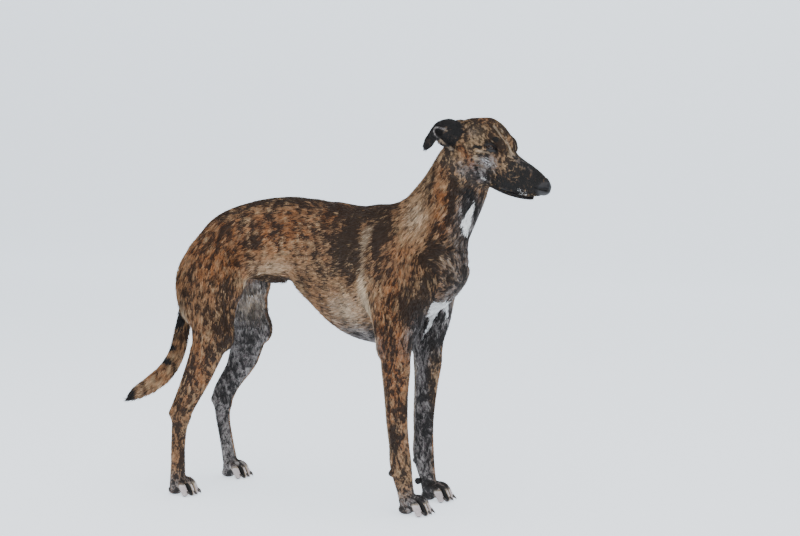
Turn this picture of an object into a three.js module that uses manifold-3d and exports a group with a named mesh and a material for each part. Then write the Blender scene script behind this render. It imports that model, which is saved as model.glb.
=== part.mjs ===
// A life-size greyhound standing square on four paws, its head turned a little to its right.
// Millimetres. +X runs to the nose, +Y to the dog's left, +Z up from the floor.
// One smooth field of bones and muscles gives the whole body, which thin cuts then part.
import * as THREE from "three";
import Module from "manifold-3d";

const wasm = await Module();
wasm.setup();
const { clamp, degToRad, lerp, smoothstep } = THREE.MathUtils;

// Three-number vectors
const add = (a, b) => [a[0] + b[0], a[1] + b[1], a[2] + b[2]];
const sub = (a, b) => [a[0] - b[0], a[1] - b[1], a[2] - b[2]];
const scale = (a, k) => [a[0] * k, a[1] * k, a[2] * k];
const dot = (a, b) => a[0] * b[0] + a[1] * b[1] + a[2] * b[2];
const cross = (a, b) => [a[1] * b[2] - a[2] * b[1], a[2] * b[0] - a[0] * b[2], a[0] * b[1] - a[1] * b[0]];
const unit = (a) => scale(a, 1 / Math.hypot(...a));

// Smooth union and smooth cut of two distances, blended over a width
function join(a, b, width) {
  const h = Math.max(width - Math.abs(a - b), 0) / width;
  return Math.min(a, b) - (h * h * width) / 4;
}
const carve = (a, b, width) => -join(-a, b, width);

// Distance to an ellipse-like form from its scaled offsets, near enough for a smooth surface
function roundDistance(u, v, w, rx, ry, rz) {
  const k0 = Math.hypot(u / rx, v / ry, w / rz);
  const k1 = Math.hypot(u / rx ** 2, v / ry ** 2, w / rz ** 2);
  return k1 < 1e-9 ? -Math.min(rx, ry, rz) : (k0 * (k0 - 1)) / k1;
}
const ball = ([cx, cy, cz], r) => (x, y, z) => Math.hypot(x - cx, y - cy, z - cz) - r;
const lump = ([cx, cy, cz], [rx, ry, rz]) => (x, y, z) => roundDistance(x - cx, y - cy, z - cz, rx, ry, rz);

// Swept form. Each station is [x, y, z, over, under, side]: a centre and three half-thicknesses.
// A smooth curve joins the centres. "over" points to (direction of travel) x (sideways).
// An egg above zero widens the over half and narrows the under half.
const CURVE_STEPS = 6;
const FAR = 45;
function onCurve(before, a, b, after, t) {
  return a.map((start, k) => {
    const leave = (b[k] - before[k]) / 2;
    const arrive = (after[k] - start) / 2;
    const t2 = t * t;
    const t3 = t2 * t;
    const away = (2 * t3 - 3 * t2 + 1) * start + (t3 - 2 * t2 + t) * leave;
    return away + (3 * t2 - 2 * t3) * b[k] + (t3 - t2) * arrive;
  });
}
function swept(stations, { sideways = [0, 1, 0], ends = null, egg = 0 } = {}) {
  const at = (i) => stations[clamp(i, 0, stations.length - 1)];
  const rows = [];
  for (let i = 0; i < stations.length - 1; i++) {
    for (let j = 0; j < CURVE_STEPS; j++) {
      rows.push(onCurve(at(i - 1), at(i), at(i + 1), at(i + 2), j / CURVE_STEPS));
    }
  }
  rows.push(at(stations.length - 1));
  const last = rows.length - 1;
  const frames = rows.map((row, i) => {
    const along = unit(sub(rows[Math.min(i + 1, last)], rows[Math.max(i - 1, 0)]));
    const side = unit(sub(sideways, scale(along, dot(sideways, along))));
    return [...cross(along, side), ...side, ...along];
  });
  const reach = (row) => Math.max(row[3], row[4], row[5]);
  const low = [0, 1, 2].map((k) => Math.min(...rows.map((row) => row[k] - reach(row))));
  const high = [0, 1, 2].map((k) => Math.max(...rows.map((row) => row[k] + reach(row))));
  const [firstEnd, lastEnd] = ends || [Math.min(...rows[0].slice(3)), Math.min(...rows[last].slice(3))];
  return (x, y, z) => {
    const outX = Math.max(low[0] - x, x - high[0], 0);
    const outY = Math.max(low[1] - y, y - high[1], 0);
    const outZ = Math.max(low[2] - z, z - high[2], 0);
    const away = Math.hypot(outX, outY, outZ);
    if (away > FAR) return away;
    let nearest = Infinity;
    let where = 0;
    let share = 0;
    for (let i = 0; i < last; i++) {
      const a = rows[i];
      const b = rows[i + 1];
      const dx = b[0] - a[0];
      const dy = b[1] - a[1];
      const dz = b[2] - a[2];
      const px = x - a[0];
      const py = y - a[1];
      const pz = z - a[2];
      const t = Math.min(1, Math.max(0, (px * dx + py * dy + pz * dz) / (dx * dx + dy * dy + dz * dz)));
      const gap = (px - t * dx) ** 2 + (py - t * dy) ** 2 + (pz - t * dz) ** 2;
      if (gap < nearest) {
        nearest = gap;
        where = i;
        share = t;
      }
    }
    const a = rows[where];
    const b = rows[where + 1];
    const f = frames[where];
    const g = frames[where + 1];
    const ox = x - lerp(a[0], b[0], share);
    const oy = y - lerp(a[1], b[1], share);
    const oz = z - lerp(a[2], b[2], share);
    const turned = (k) => lerp(f[k], g[k], share);
    const on = (k) => ox * turned(k) + oy * turned(k + 1) + oz * turned(k + 2);
    let over = on(0);
    let across = on(3);
    const tall = over > 0 ? lerp(a[3], b[3], share) : lerp(a[4], b[4], share);
    const wide = lerp(a[5], b[5], share) * (1 + egg * clamp(over / tall, -1, 1));
    const place = where + share;
    if (place === 0) return roundDistance(over, across, on(6), tall, wide, firstEnd);
    if (place === last) return roundDistance(over, across, on(6), tall, wide, lastEnd);
    const turn = Math.sqrt(nearest) / Math.max(Math.hypot(over, across), 1e-6);
    over *= turn;
    across *= turn;
    return roundDistance(over, across, 0, tall, wide, tall);
  };
}

// Trunk: deep keeled chest, arched loin, sloping croup
const trunk = swept(
  [
    [-594, 0, 576, 38, 56, 40],
    [-562, 0, 590, 66, 70, 52],
    [-505, 0, 612, 83, 90, 63],
    [-430, 0, 628, 90, 114, 62],
    [-365, 0, 632, 95, 114, 60],
    [-318, 0, 622, 105, 108, 66],
    [-266, 0, 603, 120, 132, 77],
    [-200, 0, 584, 129, 167, 89],
    [-140, 0, 572, 142, 184, 91],
    [-70, 0, 568, 140, 186, 84],
    [-4, 0, 554, 118, 148, 72],
    [40, 0, 514, 84, 84, 52],
  ],
  { ends: [26, 30], egg: 0.2 },
);

// Neck: deep from nape to throat, narrow from side to side
const neck = swept([
  [-60, 0, 590, 92, 92, 72],
  [-12, 0, 636, 92, 100, 65],
  [54, 0, 736, 71, 88, 50],
  [96, -2, 808, 65, 73, 44],
  [118, -4, 850, 52, 50, 40],
]);

// Head, in a frame of its own: x to the nose, y to the left, z out of the crown
const headPlace = [85, -3, 880];
const headDown = degToRad(30);
const headTurn = degToRad(-8);
const headAxes = (() => {
  const level = Math.cos(headDown);
  const nose = [level * Math.cos(headTurn), level * Math.sin(headTurn), -Math.sin(headDown)];
  const left = [-Math.sin(headTurn), Math.cos(headTurn), 0];
  return [nose, left, cross(nose, left)];
})();
const toHead = (x, y, z) => {
  const p = sub([x, y, z], headPlace);
  return headAxes.map((axis) => dot(p, axis));
};
const fromHead = ([u, v, w]) =>
  add(headPlace, add(add(scale(headAxes[0], u), scale(headAxes[1], v)), scale(headAxes[2], w)));

const skull = swept(
  [
    [2, 0, 2, 30, 42, 33],
    [25, 0, 6, 45, 50, 40],
    [55, 0, 8, 61, 54, 41],
    [82, 0, 10, 62, 54, 37],
    [106, 0, 8, 54, 52, 33],
    [126, 0, 1, 42, 49, 30],
    [146, 0, -5, 39, 49, 28.5],
    [175, 0, -8, 39, 45, 26.5],
    [204, 0, -7, 38, 36, 24],
    [232, 0, -3, 32, 25, 20],
    [249, 0, 1, 25, 15, 15],
  ],
  { egg: -0.12 },
);
const jaw = swept([
  [35, 0, -34, 18, 22, 34],
  [90, 0, -44, 18, 23, 29],
  [140, 0, -47, 14, 17, 23],
  [185, 0, -42, 10, 13, 17],
  [214, 0, -36, 8, 9, 13],
  [232, 0, -29, 6, 7, 9],
]);
const cheek = lump([58, 33, -22], [32, 17, 27]);
const cheekbone = swept([
  [124, 28, 3, 8, 8, 7],
  [104, 37, 1, 9, 9, 8],
  [80, 41, 2, 10, 10, 8],
  [42, 39, 6, 11, 11, 9],
]);
const brow = swept([
  [78, 28, 44, 11, 10, 9],
  [100, 31, 44, 9, 8, 8],
  [116, 32, 42, 8, 8, 8],
  [128, 27, 33, 8, 8, 7],
]);
const lip = swept([
  [148, 20, -36, 12, 14, 9],
  [180, 18, -33, 12, 14, 9],
  [212, 14, -25, 12, 14, 9],
  [234, 9, -16, 9, 11, 8],
  [245, 3, -8, 7, 7, 6],
]);
const nosePad = lump([253, 0, 3], [14, 15, 15.5]);
const nostril = swept([
  [270, 6.5, 7, 3.6, 3.6, 3.6],
  [260, 9, 5.5, 4, 4, 4],
  [253, 14, 2.5, 3, 3, 4],
  [245, 17, -1.5, 1.6, 1.4, 3],
  [238, 18, -3, 0.8, 0.8, 2],
]);
const mouthLine = swept([
  [152, 32, -47.5, 1, 1, 3],
  [161, 31, -50.6, 1.6, 1.6, 5],
  [177, 27, -47.7, 1.6, 1.6, 6],
  [198, 22, -41, 1.6, 1.6, 6],
  [214, 18, -38.6, 1.6, 1.6, 6],
  [230, 13, -33, 1.6, 1.6, 7],
  [244, 4, -23, 1.6, 1.6, 7],
  [246, -4, -21, 1.6, 1.6, 7],
]);
const eyePlace = [101, 28, 22.5];
const eyeRadius = 11.5;
const lids = ball(eyePlace, eyeRadius + 2.4);
const eyeSlit = swept([
  [92, 42, 16.5, 1.6, 1.6, 9],
  [98, 42, 20.5, 5, 4, 9],
  [106, 40, 23.5, 5.6, 4.4, 9],
  [113, 36, 25, 3, 3, 9],
  [118, 33, 23, 1.4, 1.4, 8],
]);
function headField(x, y, z) {
  const [u, w, v] = toHead(x, y, z);
  const s = Math.abs(w);
  let d = join(skull(u, s, v), jaw(u, s, v), 12);
  d = join(d, cheek(u, s, v), 14);
  d = join(d, cheekbone(u, s, v), 20);
  d = join(d, brow(u, s, v), 18);
  d = join(d, lip(u, s, v), 8);
  d = join(d, nosePad(u, s, v), 4);
  d = join(d, lids(u, s, v), 5);
  d = carve(d, eyeSlit(u, s, v), 2);
  d = carve(d, nostril(u, s, v), 2);
  return carve(d, mouthLine(u, s, v), 2);
}

// Ear, in the head's frame: a round base folded back over a cup, its flap hanging behind
const earLeather = swept(
  [
    [24, 33, 6, 24, 26, 10],
    [8, 42, 4, 31, 29, 11],
    [-8, 49, 2, 28, 27, 9],
    [-21, 55, -5, 21, 19, 7],
    [-27, 59, -24, 13, 14, 4.5],
    [-29, 61, -43, 12, 13, 3.2],
    [-31, 61, -55, 7, 9, 2.4],
  ],
  { ends: [6, 7] },
);
const earFold = lump([0, 52, -25], [19, 7, 7]);
const earCup = swept([
  [-7, 62, -10, 5, 5, 5],
  [-14, 62.5, -9, 7, 7, 8],
  [-21, 63.5, -9, 6.5, 6.5, 8],
  [-25, 64, -14, 3, 3, 5],
]);
const flapHollow = swept([
  [-28, 67, -26, 7, 7, 4.5],
  [-29, 66, -42, 7, 7, 4],
  [-30, 64, -54, 3, 4, 2.5],
]);
const earRim = swept([
  [27, 47, -27, 3, 3, 3],
  [14, 53.5, -26, 3, 3, 3],
  [2, 57.5, -23.5, 2.8, 2.8, 2.8],
  [-9, 60, -21, 2.6, 2.6, 2.6],
  [-19, 61, -19, 2.4, 2.4, 2.4],
  [-27, 62, -15, 2.3, 2.3, 2.3],
  [-30, 62.5, -8, 2.3, 2.3, 2.3],
  [-27, 62, -1, 2.3, 2.3, 2.3],
  [-19, 61, 2.5, 2.3, 2.3, 2.3],
  [-10, 59.5, 4, 2, 2, 2],
  [-2, 56, 4, 1.6, 1.6, 1.6],
]);
function earField(x, y, z) {
  const [u, w, v] = toHead(x, y, z);
  const s = Math.abs(w);
  let d = join(earLeather(u, s, v), earFold(u, s, v), 5);
  d = carve(d, earCup(u, s, v), 2.5);
  d = carve(d, flapHollow(u, s, v), 3);
  return join(d, earRim(u, s, v), 2.5);
}

// Each leg is drawn once and then carried forward or back, by an amount that changes with height.
// The left foreleg has its foot further back and its elbow further forward than the right one.
const foreFootBack = 12;
const elbowAhead = 16;
const atElbow = (z) => smoothstep(z, 90, 360);
const foreCarry = (z) => lerp(-foreFootBack, elbowAhead, atElbow(z)) * (1 - smoothstep(z, 400, 520));
const foreLead = (z, side) => (side > 0 ? foreCarry(z) : 0);
// The left hind leg has its foot and knee further forward and its hock further back
const hindFootAhead = 6;
const hockBack = 16;
const hindFootBack = 8;
const atHock = (z) => smoothstep(z, 50, 200) * (1 - smoothstep(z, 220, 310));
const hindCarry = (z) => lerp(hindFootAhead, -hockBack, atHock(z)) * (1 - smoothstep(z, 380, 480));
const hindLead = (z, side) => (side > 0 ? hindCarry(z) : -hindFootBack * (1 - smoothstep(z, 25, 80)));

// Foreleg, drawn for the left side with y outwards
const foreOut = 79;
const shoulderBlade = swept([
  [-92, 30, 690, 18, 24, 12],
  [-40, 54, 625, 36, 42, 20],
  [14, 66, 540, 38, 40, 24],
]);
const upperArm = swept([
  [14, 68, 532, 40, 40, 26],
  [-20, 70, 455, 42, 46, 28],
  [-48, 74, 385, 38, 36, 25],
]);
const triceps = swept([
  [-92, 52, 605, 28, 34, 16],
  [-84, 64, 520, 42, 40, 24],
  [-74, 72, 440, 34, 28, 22],
  [-78, 75, 374, 14, 10, 11],
]);
const forearm = swept([
  [-48, 75, 390, 36, 34, 24],
  [-44, 75, 340, 36, 35, 24],
  [-43, 76, 280, 30, 29, 20],
  [-39, 78, 210, 26, 26, 17.5],
  [-33, foreOut, 160, 24, 25, 17],
  [-30, foreOut, 120, 26, 26, 20],
  [-25, foreOut, 88, 24, 24, 18],
  [-18, foreOut, 56, 20, 20, 18],
  [-12, foreOut, 34, 18, 20, 22],
]);
const carpalPad = ball([-51, foreOut + 4, 92], 8);
const dewclawPlace = [-35, foreOut - 20, 47];
const dewclawToe = lump(dewclawPlace, [8, 6, 8.5]);
const dewclawSize = 0.72;
const forearmField = (x, s, z) => join(join(forearm(x, s, z), carpalPad(x, s, z), 6), dewclawToe(x, s, z), 5);
function forelegField(x, s, z) {
  let d = join(shoulderBlade(x, s, z), upperArm(x, s, z), 24);
  d = join(d, triceps(x, s, z), 14);
  return join(d, forearmField(x, s, z), 16);
}

// Hind leg, drawn for the left side with y outwards
const hindOut = 116;
const thigh = swept([
  [-508, 36, 632, 40, 44, 28],
  [-528, 48, 588, 70, 74, 40],
  [-540, 60, 535, 92, 96, 46],
  [-541, 70, 480, 86, 91, 43],
  [-530, 81, 425, 61, 65, 36],
  [-531, 90, 385, 52, 50, 30],
  [-541, 98, 335, 40, 40, 24],
  [-560, 105, 282, 33, 33, 19],
  [-584, 111, 228, 26, 25, 16.5],
  [-604, 113, 190, 25, 24, 18],
]);
const heelTendon = swept([
  [-574, 92, 356, 7, 9, 9],
  [-602, 104, 270, 8, 8, 7],
  [-624, 113, 204, 9, 9, 9],
]);
const hockPoint = swept([
  [-604, 113, 184, 15, 15, 14],
  [-625, 114, 197, 9, 9, 9],
]);
const shank = swept([
  [-602, 113, 192, 26, 24, 18],
  [-606, 114, 160, 21, 21, 15.5],
  [-609, 115, 120, 19, 19, 14],
  [-609, hindOut, 80, 18, 19, 14.5],
  [-606, hindOut, 52, 18, 19, 17],
  [-601, hindOut, 33, 18, 20, 20],
]);
const stifle = lump([-486, 90, 390], [20, 20, 32]);
const flank = swept([
  [-352, 26, 560, 20, 30, 12],
  [-398, 46, 566, 22, 26, 11],
  [-446, 58, 560, 30, 30, 14],
]);
function hindlegField(x, s, z) {
  let d = join(thigh(x, s, z), flank(x, s, z), 24);
  d = join(d, heelTendon(x, s, z), 14);
  d = join(d, stifle(x, s, z), 20);
  d = join(d, hockPoint(x, s, z), 8);
  return join(d, shank(x, s, z), 10);
}

// Paw: four arched toes before a heel pad; aside, reach and height of each toe
const toes = [
  { aside: -23, reach: 35, height: 22 },
  { aside: -8.5, reach: 45, height: 27 },
  { aside: 8.5, reach: 45, height: 27 },
  { aside: 23, reach: 35, height: 22 },
];
function toeForm({ aside, reach, height }, atX, atY, size) {
  const row = (along, across, up, tall, wide) =>
    [reach * along, aside * across, up, tall, tall, wide].map((v, k) => v * size + [atX, atY, 0, 0, 0, 0][k]);
  return swept([
    row(-0.1, 0.72, 32, 9.4, 8.4),
    row(0.36, 0.92, height + 9, 9.6, 8.2),
    row(0.7, 1.04, height + 5, 9, 8),
    row(0.9, 1.08, height * 0.66, 8.8, 7.8),
    row(1, 1.1, 7.8, 8.6, 7.6),
  ]);
}
function pawForm(atX, atY, size) {
  const forms = toes.map((toe) => toeForm(toe, atX, atY, size));
  const heelPad = lump([atX - 8 * size, atY, 11 * size], [18 * size, 20 * size, 13 * size]);
  const bridge = lump([atX + 1 * size, atY, 26 * size], [22 * size, 22 * size, 16 * size]);
  const web = lump([atX + 20 * size, atY, 17 * size], [17 * size, 22 * size, 11 * size]);
  return (x, s, z) => {
    let d = join(heelPad(x, s, z), bridge(x, s, z), 8);
    d = join(d, web(x, s, z), 4);
    for (const form of forms) d = join(d, form(x, s, z), 2.5);
    return d;
  };
}
const forePawX = -7;
const hindPawX = -601;
const hindPawSize = 0.97;
const forePaw = pawForm(forePawX, foreOut, 1);
const hindPaw = pawForm(hindPawX, hindOut, hindPawSize);

// Tail: hangs behind the thighs and curls back at its tip
const tailForm = swept([
  [-590, 0, 610, 26, 26, 22],
  [-626, 0, 580, 21, 22, 20],
  [-647, 0, 520, 17, 17, 16],
  [-653, 0, 450, 16, 16, 15],
  [-667, 0, 385, 20, 17, 15],
  [-686, 0, 328, 25, 18, 16],
  [-718, 0, 282, 26, 19, 16],
  [-762, 0, 248, 25, 18, 15],
  [-806, 0, 222, 19, 13, 11],
  [-832, 0, 203, 6, 4, 4],
]);

// The whole body but for the ears
function bodyField(x, y, z) {
  const s = Math.abs(y);
  const fx = x - foreLead(z, y);
  const hx = x - hindLead(z, y);
  let d = join(trunk(x, y, z), neck(x, y, z), 38);
  d = join(d, forelegField(fx, s, z), 22);
  d = join(d, hindlegField(hx, s, z), 26);
  d = join(d, Math.min(forePaw(fx, s, z), hindPaw(hx, s, z)), 6);
  d = join(d, headField(x, y, z), 20);
  return join(d, tailForm(x, y, z), 14);
}

// Closed surface of a field inside a box: one point per crossed cell, faces across crossed edges
const BLOCK = 4;
function sampleField(field, low, cell, count) {
  const [nx, ny, nz] = count;
  const value = new Float32Array(nx * ny * nz);
  const farEnough = BLOCK * cell * 2;
  for (let k0 = 0; k0 < nz; k0 += BLOCK) {
    for (let j0 = 0; j0 < ny; j0 += BLOCK) {
      for (let i0 = 0; i0 < nx; i0 += BLOCK) {
        const middle = [i0, j0, k0].map((n, axis) => low[axis] + (n + (BLOCK - 1) / 2) * cell);
        const there = field(...middle);
        const near = Math.abs(there) < farEnough;
        for (let k = k0; k < Math.min(k0 + BLOCK, nz); k++) {
          for (let j = j0; j < Math.min(j0 + BLOCK, ny); j++) {
            for (let i = i0; i < Math.min(i0 + BLOCK, nx); i++) {
              const rim = i === 0 || j === 0 || k === 0 || i === nx - 1 || j === ny - 1 || k === nz - 1;
              const d = near ? field(low[0] + i * cell, low[1] + j * cell, low[2] + k * cell) : there;
              value[(k * ny + j) * nx + i] = rim ? Math.max(d, cell / 4) : d;
            }
          }
        }
      }
    }
  }
  return value;
}
// For each pattern of inside corners, the sheet that each of a cell's twelve edges belongs to.
// Corners inside join along edges only; corners outside also join across a face.
const CORNERS = [0, 1, 2, 3, 4, 5, 6, 7];
const bitCount = (n) => (n & 1) + ((n >> 1) & 1) + ((n >> 2) & 1);
function labelled(corners, farthest) {
  const label = Array(8).fill(-1);
  corners.forEach((first) => {
    if (label[first] >= 0) return;
    const queue = [first];
    while (queue.length > 0) {
      const corner = queue.pop();
      label[corner] = first;
      queue.push(...corners.filter((c) => label[c] < 0 && bitCount(c ^ corner) <= farthest));
    }
  });
  return label;
}
const sheetsOf = Array.from({ length: 256 }, (unused, mask) => {
  const within = labelled(CORNERS.filter((c) => (mask >> c) & 1), 1);
  const without = labelled(CORNERS.filter((c) => !((mask >> c) & 1)), 2);
  const names = [];
  const slots = new Map();
  for (const corner of CORNERS) {
    for (let axis = 0; axis < 3; axis++) {
      const other = corner | (1 << axis);
      if (other === corner || within[corner] < 0 === within[other] < 0) continue;
      const name = Math.max(within[corner], within[other]) * 8 + Math.max(without[corner], without[other]);
      if (!names.includes(name)) names.push(name);
      slots.set(corner * 3 + axis, names.indexOf(name));
    }
  }
  return { slots, count: names.length };
});
function surfaceOf(field, low, high, cell) {
  const count = low.map((from, axis) => Math.ceil((high[axis] - from) / cell) + 2);
  const [nx, ny, nz] = count;
  const step = [1, nx, nx * ny];
  const value = sampleField(field, low, cell, count);
  const pointOf = new Int32Array(value.length).fill(-1);
  const maskOf = new Uint8Array(value.length);
  const cornerStep = CORNERS.map((c) => (c & 1) + ((c >> 1) & 1) * nx + (c >> 2) * nx * ny);
  const points = [];
  for (let k = 0; k < nz - 1; k++) {
    for (let j = 0; j < ny - 1; j++) {
      for (let i = 0; i < nx - 1; i++) {
        const at = (k * ny + j) * nx + i;
        let mask = 0;
        for (const c of CORNERS) if (value[at + cornerStep[c]] < 0) mask |= 1 << c;
        if (mask === 0 || mask === 255) continue;
        maskOf[at] = mask;
        pointOf[at] = points.length;
        const sums = Array.from({ length: sheetsOf[mask].count }, () => [0, 0, 0, 0]);
        for (const [edge, slot] of sheetsOf[mask].slots) {
          const corner = Math.floor(edge / 3);
          const axis = edge % 3;
          const va = value[at + cornerStep[corner]];
          const vb = value[at + cornerStep[corner] + step[axis]];
          const sum = sums[slot];
          for (let n = 0; n < 3; n++) sum[n] += (corner >> n) & 1;
          sum[axis] += va / (va - vb);
          sum[3]++;
        }
        for (const sum of sums) {
          points.push([i, j, k].map((n, axis) => low[axis] + (n + sum[axis] / sum[3]) * cell));
        }
      }
    }
  }
  settle(points, field, cell, low, high);
  const faces = [];
  for (let k = 0; k < nz - 1; k++) {
    for (let j = 0; j < ny - 1; j++) {
      for (let i = 0; i < nx - 1; i++) {
        const at = (k * ny + j) * nx + i;
        const place = [i, j, k];
        const within = value[at] < 0;
        for (let axis = 0; axis < 3; axis++) {
          const next = (axis + 1) % 3;
          const after = (axis + 2) % 3;
          if (value[at + step[axis]] < 0 === within || place[next] === 0 || place[after] === 0) continue;
          const p = 1 << next;
          const q = 1 << after;
          const quad = [p | q, q, 0, p].map((corner) => {
            const cellAt = at - cornerStep[corner];
            return pointOf[cellAt] + sheetsOf[maskOf[cellAt]].slots.get(corner * 3 + axis);
          });
          if (!within) quad.reverse();
          faces.push([quad[0], quad[1], quad[2]], [quad[0], quad[2], quad[3]]);
        }
      }
    }
  }
  return { points, faces };
}
// Slides each point along the field's slope onto the surface, within half a cell
function settle(points, field, cell, low, high) {
  const e = cell * 0.1;
  for (const p of points) {
    if (p.some((v, axis) => v < low[axis] + cell * 1.5 || v > high[axis] - cell * 0.5)) continue;
    const d = field(...p);
    const slope = [
      field(p[0] + e, p[1], p[2]) - d,
      field(p[0], p[1] + e, p[2]) - d,
      field(p[0], p[1], p[2] + e) - d,
    ].map((v) => v / e);
    const steep = Math.max(dot(slope, slope), 0.25);
    const move = clamp(-d / steep, -cell / 2, cell / 2);
    slope.forEach((v, axis) => (p[axis] += v * move));
  }
}

// Collapses edges, cheapest first, until the surface has the wanted number of triangles.
// The cost is the squared distance to the planes of the faces already merged there.
const FLIP_LIMIT = 0.25;
const EDGE_COST = 2e-4;
function simplify({ points, faces }, wanted, limit = Infinity) {
  const around = points.map(() => new Set());
  faces.forEach((face, f) => face.forEach((v) => around[v].add(f)));
  const alive = new Uint8Array(faces.length).fill(1);
  const stamp = new Int32Array(points.length);
  const quadrics = points.map(() => new Float64Array(10));
  const normalOf = (a, b, c) => cross(sub(b, a), sub(c, a));
  for (const face of faces) {
    const [a, b, c] = face.map((v) => points[v]);
    const wide = normalOf(a, b, c);
    const area = Math.hypot(...wide);
    if (area < 1e-9) continue;
    const n = scale(wide, 1 / area);
    const w = [...n, -dot(n, a)];
    for (const v of face) {
      let slot = 0;
      for (let i = 0; i < 4; i++) for (let j = i; j < 4; j++) quadrics[v][slot++] += w[i] * w[j] * area;
    }
  }
  const costAt = (q, [x, y, z]) =>
    q[0] * x * x + 2 * q[1] * x * y + 2 * q[2] * x * z + 2 * q[3] * x + q[4] * y * y +
    2 * q[5] * y * z + 2 * q[6] * y + q[7] * z * z + 2 * q[8] * z + q[9];
  const lowest = (q) => {
    const rows = [[q[0], q[1], q[2]], [q[1], q[4], q[5]], [q[2], q[5], q[7]]];
    const det = dot(rows[0], cross(rows[1], rows[2]));
    const size = q[0] + q[4] + q[7];
    if (Math.abs(det) < 1e-5 * size ** 3) return null;
    const right = [-q[3], -q[6], -q[8]];
    const columns = [cross(rows[1], rows[2]), cross(rows[2], rows[0]), cross(rows[0], rows[1])];
    return [0, 1, 2].map((k) => columns.reduce((sum, column, i) => sum + column[k] * right[i], 0) / det);
  };
  const heap = [];
  const less = (a, b) => a.cost < b.cost;
  const push = (item) => {
    let i = heap.push(item) - 1;
    while (i > 0) {
      const up = (i - 1) >> 1;
      if (!less(heap[i], heap[up])) break;
      [heap[i], heap[up]] = [heap[up], heap[i]];
      i = up;
    }
  };
  const pop = () => {
    const top = heap[0];
    const end = heap.pop();
    if (heap.length === 0) return top;
    heap[0] = end;
    for (let i = 0; ; ) {
      let next = 2 * i + 1;
      if (next >= heap.length) break;
      if (next + 1 < heap.length && less(heap[next + 1], heap[next])) next++;
      if (!less(heap[next], heap[i])) break;
      [heap[i], heap[next]] = [heap[next], heap[i]];
      i = next;
    }
    return top;
  };
  const offer = (a, b) => {
    const q = quadrics[a].map((v, i) => v + quadrics[b][i]);
    const span = sub(points[a], points[b]);
    const long = dot(span, span);
    const middle = scale(add(points[a], points[b]), 0.5);
    const best = lowest(q);
    const near = best && dot(sub(best, middle), sub(best, middle)) < long;
    const places = near ? [best] : [middle, points[a], points[b]];
    const costs = places.map((place) => costAt(q, place));
    const least = Math.min(...costs);
    const cost = least + long * long * EDGE_COST;
    push({ a, b, q, cost, place: places[costs.indexOf(least)], mark: stamp[a] + stamp[b] });
  };
  const neighbours = (v) => {
    const found = new Set();
    for (const f of around[v]) for (const n of faces[f]) if (n !== v) found.add(n);
    return found;
  };
  const flips = (v, other, place) => {
    for (const f of around[v]) {
      if (faces[f].includes(other)) continue;
      const before = faces[f].map((n) => points[n]);
      const after = faces[f].map((n) => (n === v ? place : points[n]));
      const n0 = normalOf(...before);
      const n1 = normalOf(...after);
      const grown = Math.hypot(...n1);
      if (grown < 1e-6 || dot(n0, n1) < FLIP_LIMIT * Math.hypot(...n0) * grown) return true;
    }
    return false;
  };
  for (const face of faces) {
    face.forEach((v, i) => {
      const w = face[(i + 1) % 3];
      if (v < w) offer(v, w);
    });
  }
  let left = faces.length;
  while (left > wanted && heap.length > 0) {
    const { a, b, q, place, mark, cost } = pop();
    if (cost > limit) break;
    if (stamp[a] < 0 || stamp[b] < 0 || stamp[a] + stamp[b] !== mark) continue;
    const nearA = neighbours(a);
    const shared = [...neighbours(b)].filter((n) => nearA.has(n));
    if (shared.length !== 2 || flips(a, b, place) || flips(b, a, place)) continue;
    for (const f of [...around[b]]) {
      if (faces[f].includes(a)) {
        for (const v of faces[f]) around[v].delete(f);
        alive[f] = 0;
        left--;
      } else {
        faces[f] = faces[f].map((v) => (v === b ? a : v));
        around[a].add(f);
      }
    }
    points[a] = place;
    quadrics[a] = q;
    stamp[b] = -1e9;
    stamp[a]++;
    for (const n of neighbours(a)) offer(a, n);
  }
  return { points, faces: faces.filter((face, f) => alive[f]) };
}

// Surfaces to solids and back
function solidOf({ points, faces }) {
  const used = new Map();
  const vertices = [];
  const triangles = [];
  for (const face of faces) {
    for (const v of face) {
      if (!used.has(v)) {
        used.set(v, used.size);
        vertices.push(...points[v]);
      }
      triangles.push(used.get(v));
    }
  }
  const mesh = new wasm.Mesh({
    numProp: 3,
    vertProperties: new Float32Array(vertices),
    triVerts: new Uint32Array(triangles),
  });
  return new wasm.Manifold(mesh);
}
function surfaceFrom(solid) {
  const { vertProperties, triVerts } = solid.getMesh();
  const points = [];
  const faces = [];
  for (let i = 0; i < vertProperties.length; i += 3) points.push([...vertProperties.slice(i, i + 3)]);
  for (let i = 0; i < triVerts.length; i += 3) faces.push([...triVerts.slice(i, i + 3)]);
  return { points, faces };
}
const largest = (solid) => solid.decompose().reduce((a, b) => (b.volume() > a.volume() ? b : a));

// Region between flat cuts. Each cut is [point, direction out of the region].
const GAP = 0.3;
const REACH = 2000;
const everywhere = solidOf(boxSurface(REACH));
function boxSurface(size) {
  const box = new THREE.BoxGeometry(size, size, size);
  const corners = [];
  const indexOf = (p) => {
    const found = corners.findIndex((c) => Math.hypot(...sub(c, p)) < 1e-6);
    return found < 0 ? corners.push(p) - 1 : found;
  };
  const place = box.getAttribute("position");
  const order = [...box.index.array].map((i) => indexOf([place.getX(i), place.getY(i), place.getZ(i)]));
  const faces = [];
  for (let i = 0; i < order.length; i += 3) faces.push(order.slice(i, i + 3));
  return { points: corners, faces };
}
function region(cuts, grow) {
  return cuts.reduce((solid, [point, out]) => {
    const n = unit(out);
    return solid.trimByPlane(scale(n, -1), -(dot(n, point) + grow));
  }, everywhere);
}
const inside = (solid, cuts) => solid.intersect(region(cuts, -GAP / 2));
const outside = (solid, cuts) => solid.subtract(region(cuts, GAP / 2));
const mirrored = (cuts, side) => cuts.map((cut) => cut.map(([x, y, z]) => [x, y * side, z]));
const carried = (cuts, ahead) => cuts.map(([point, out]) => [add(point, [ahead, 0, 0]), out]);
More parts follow.
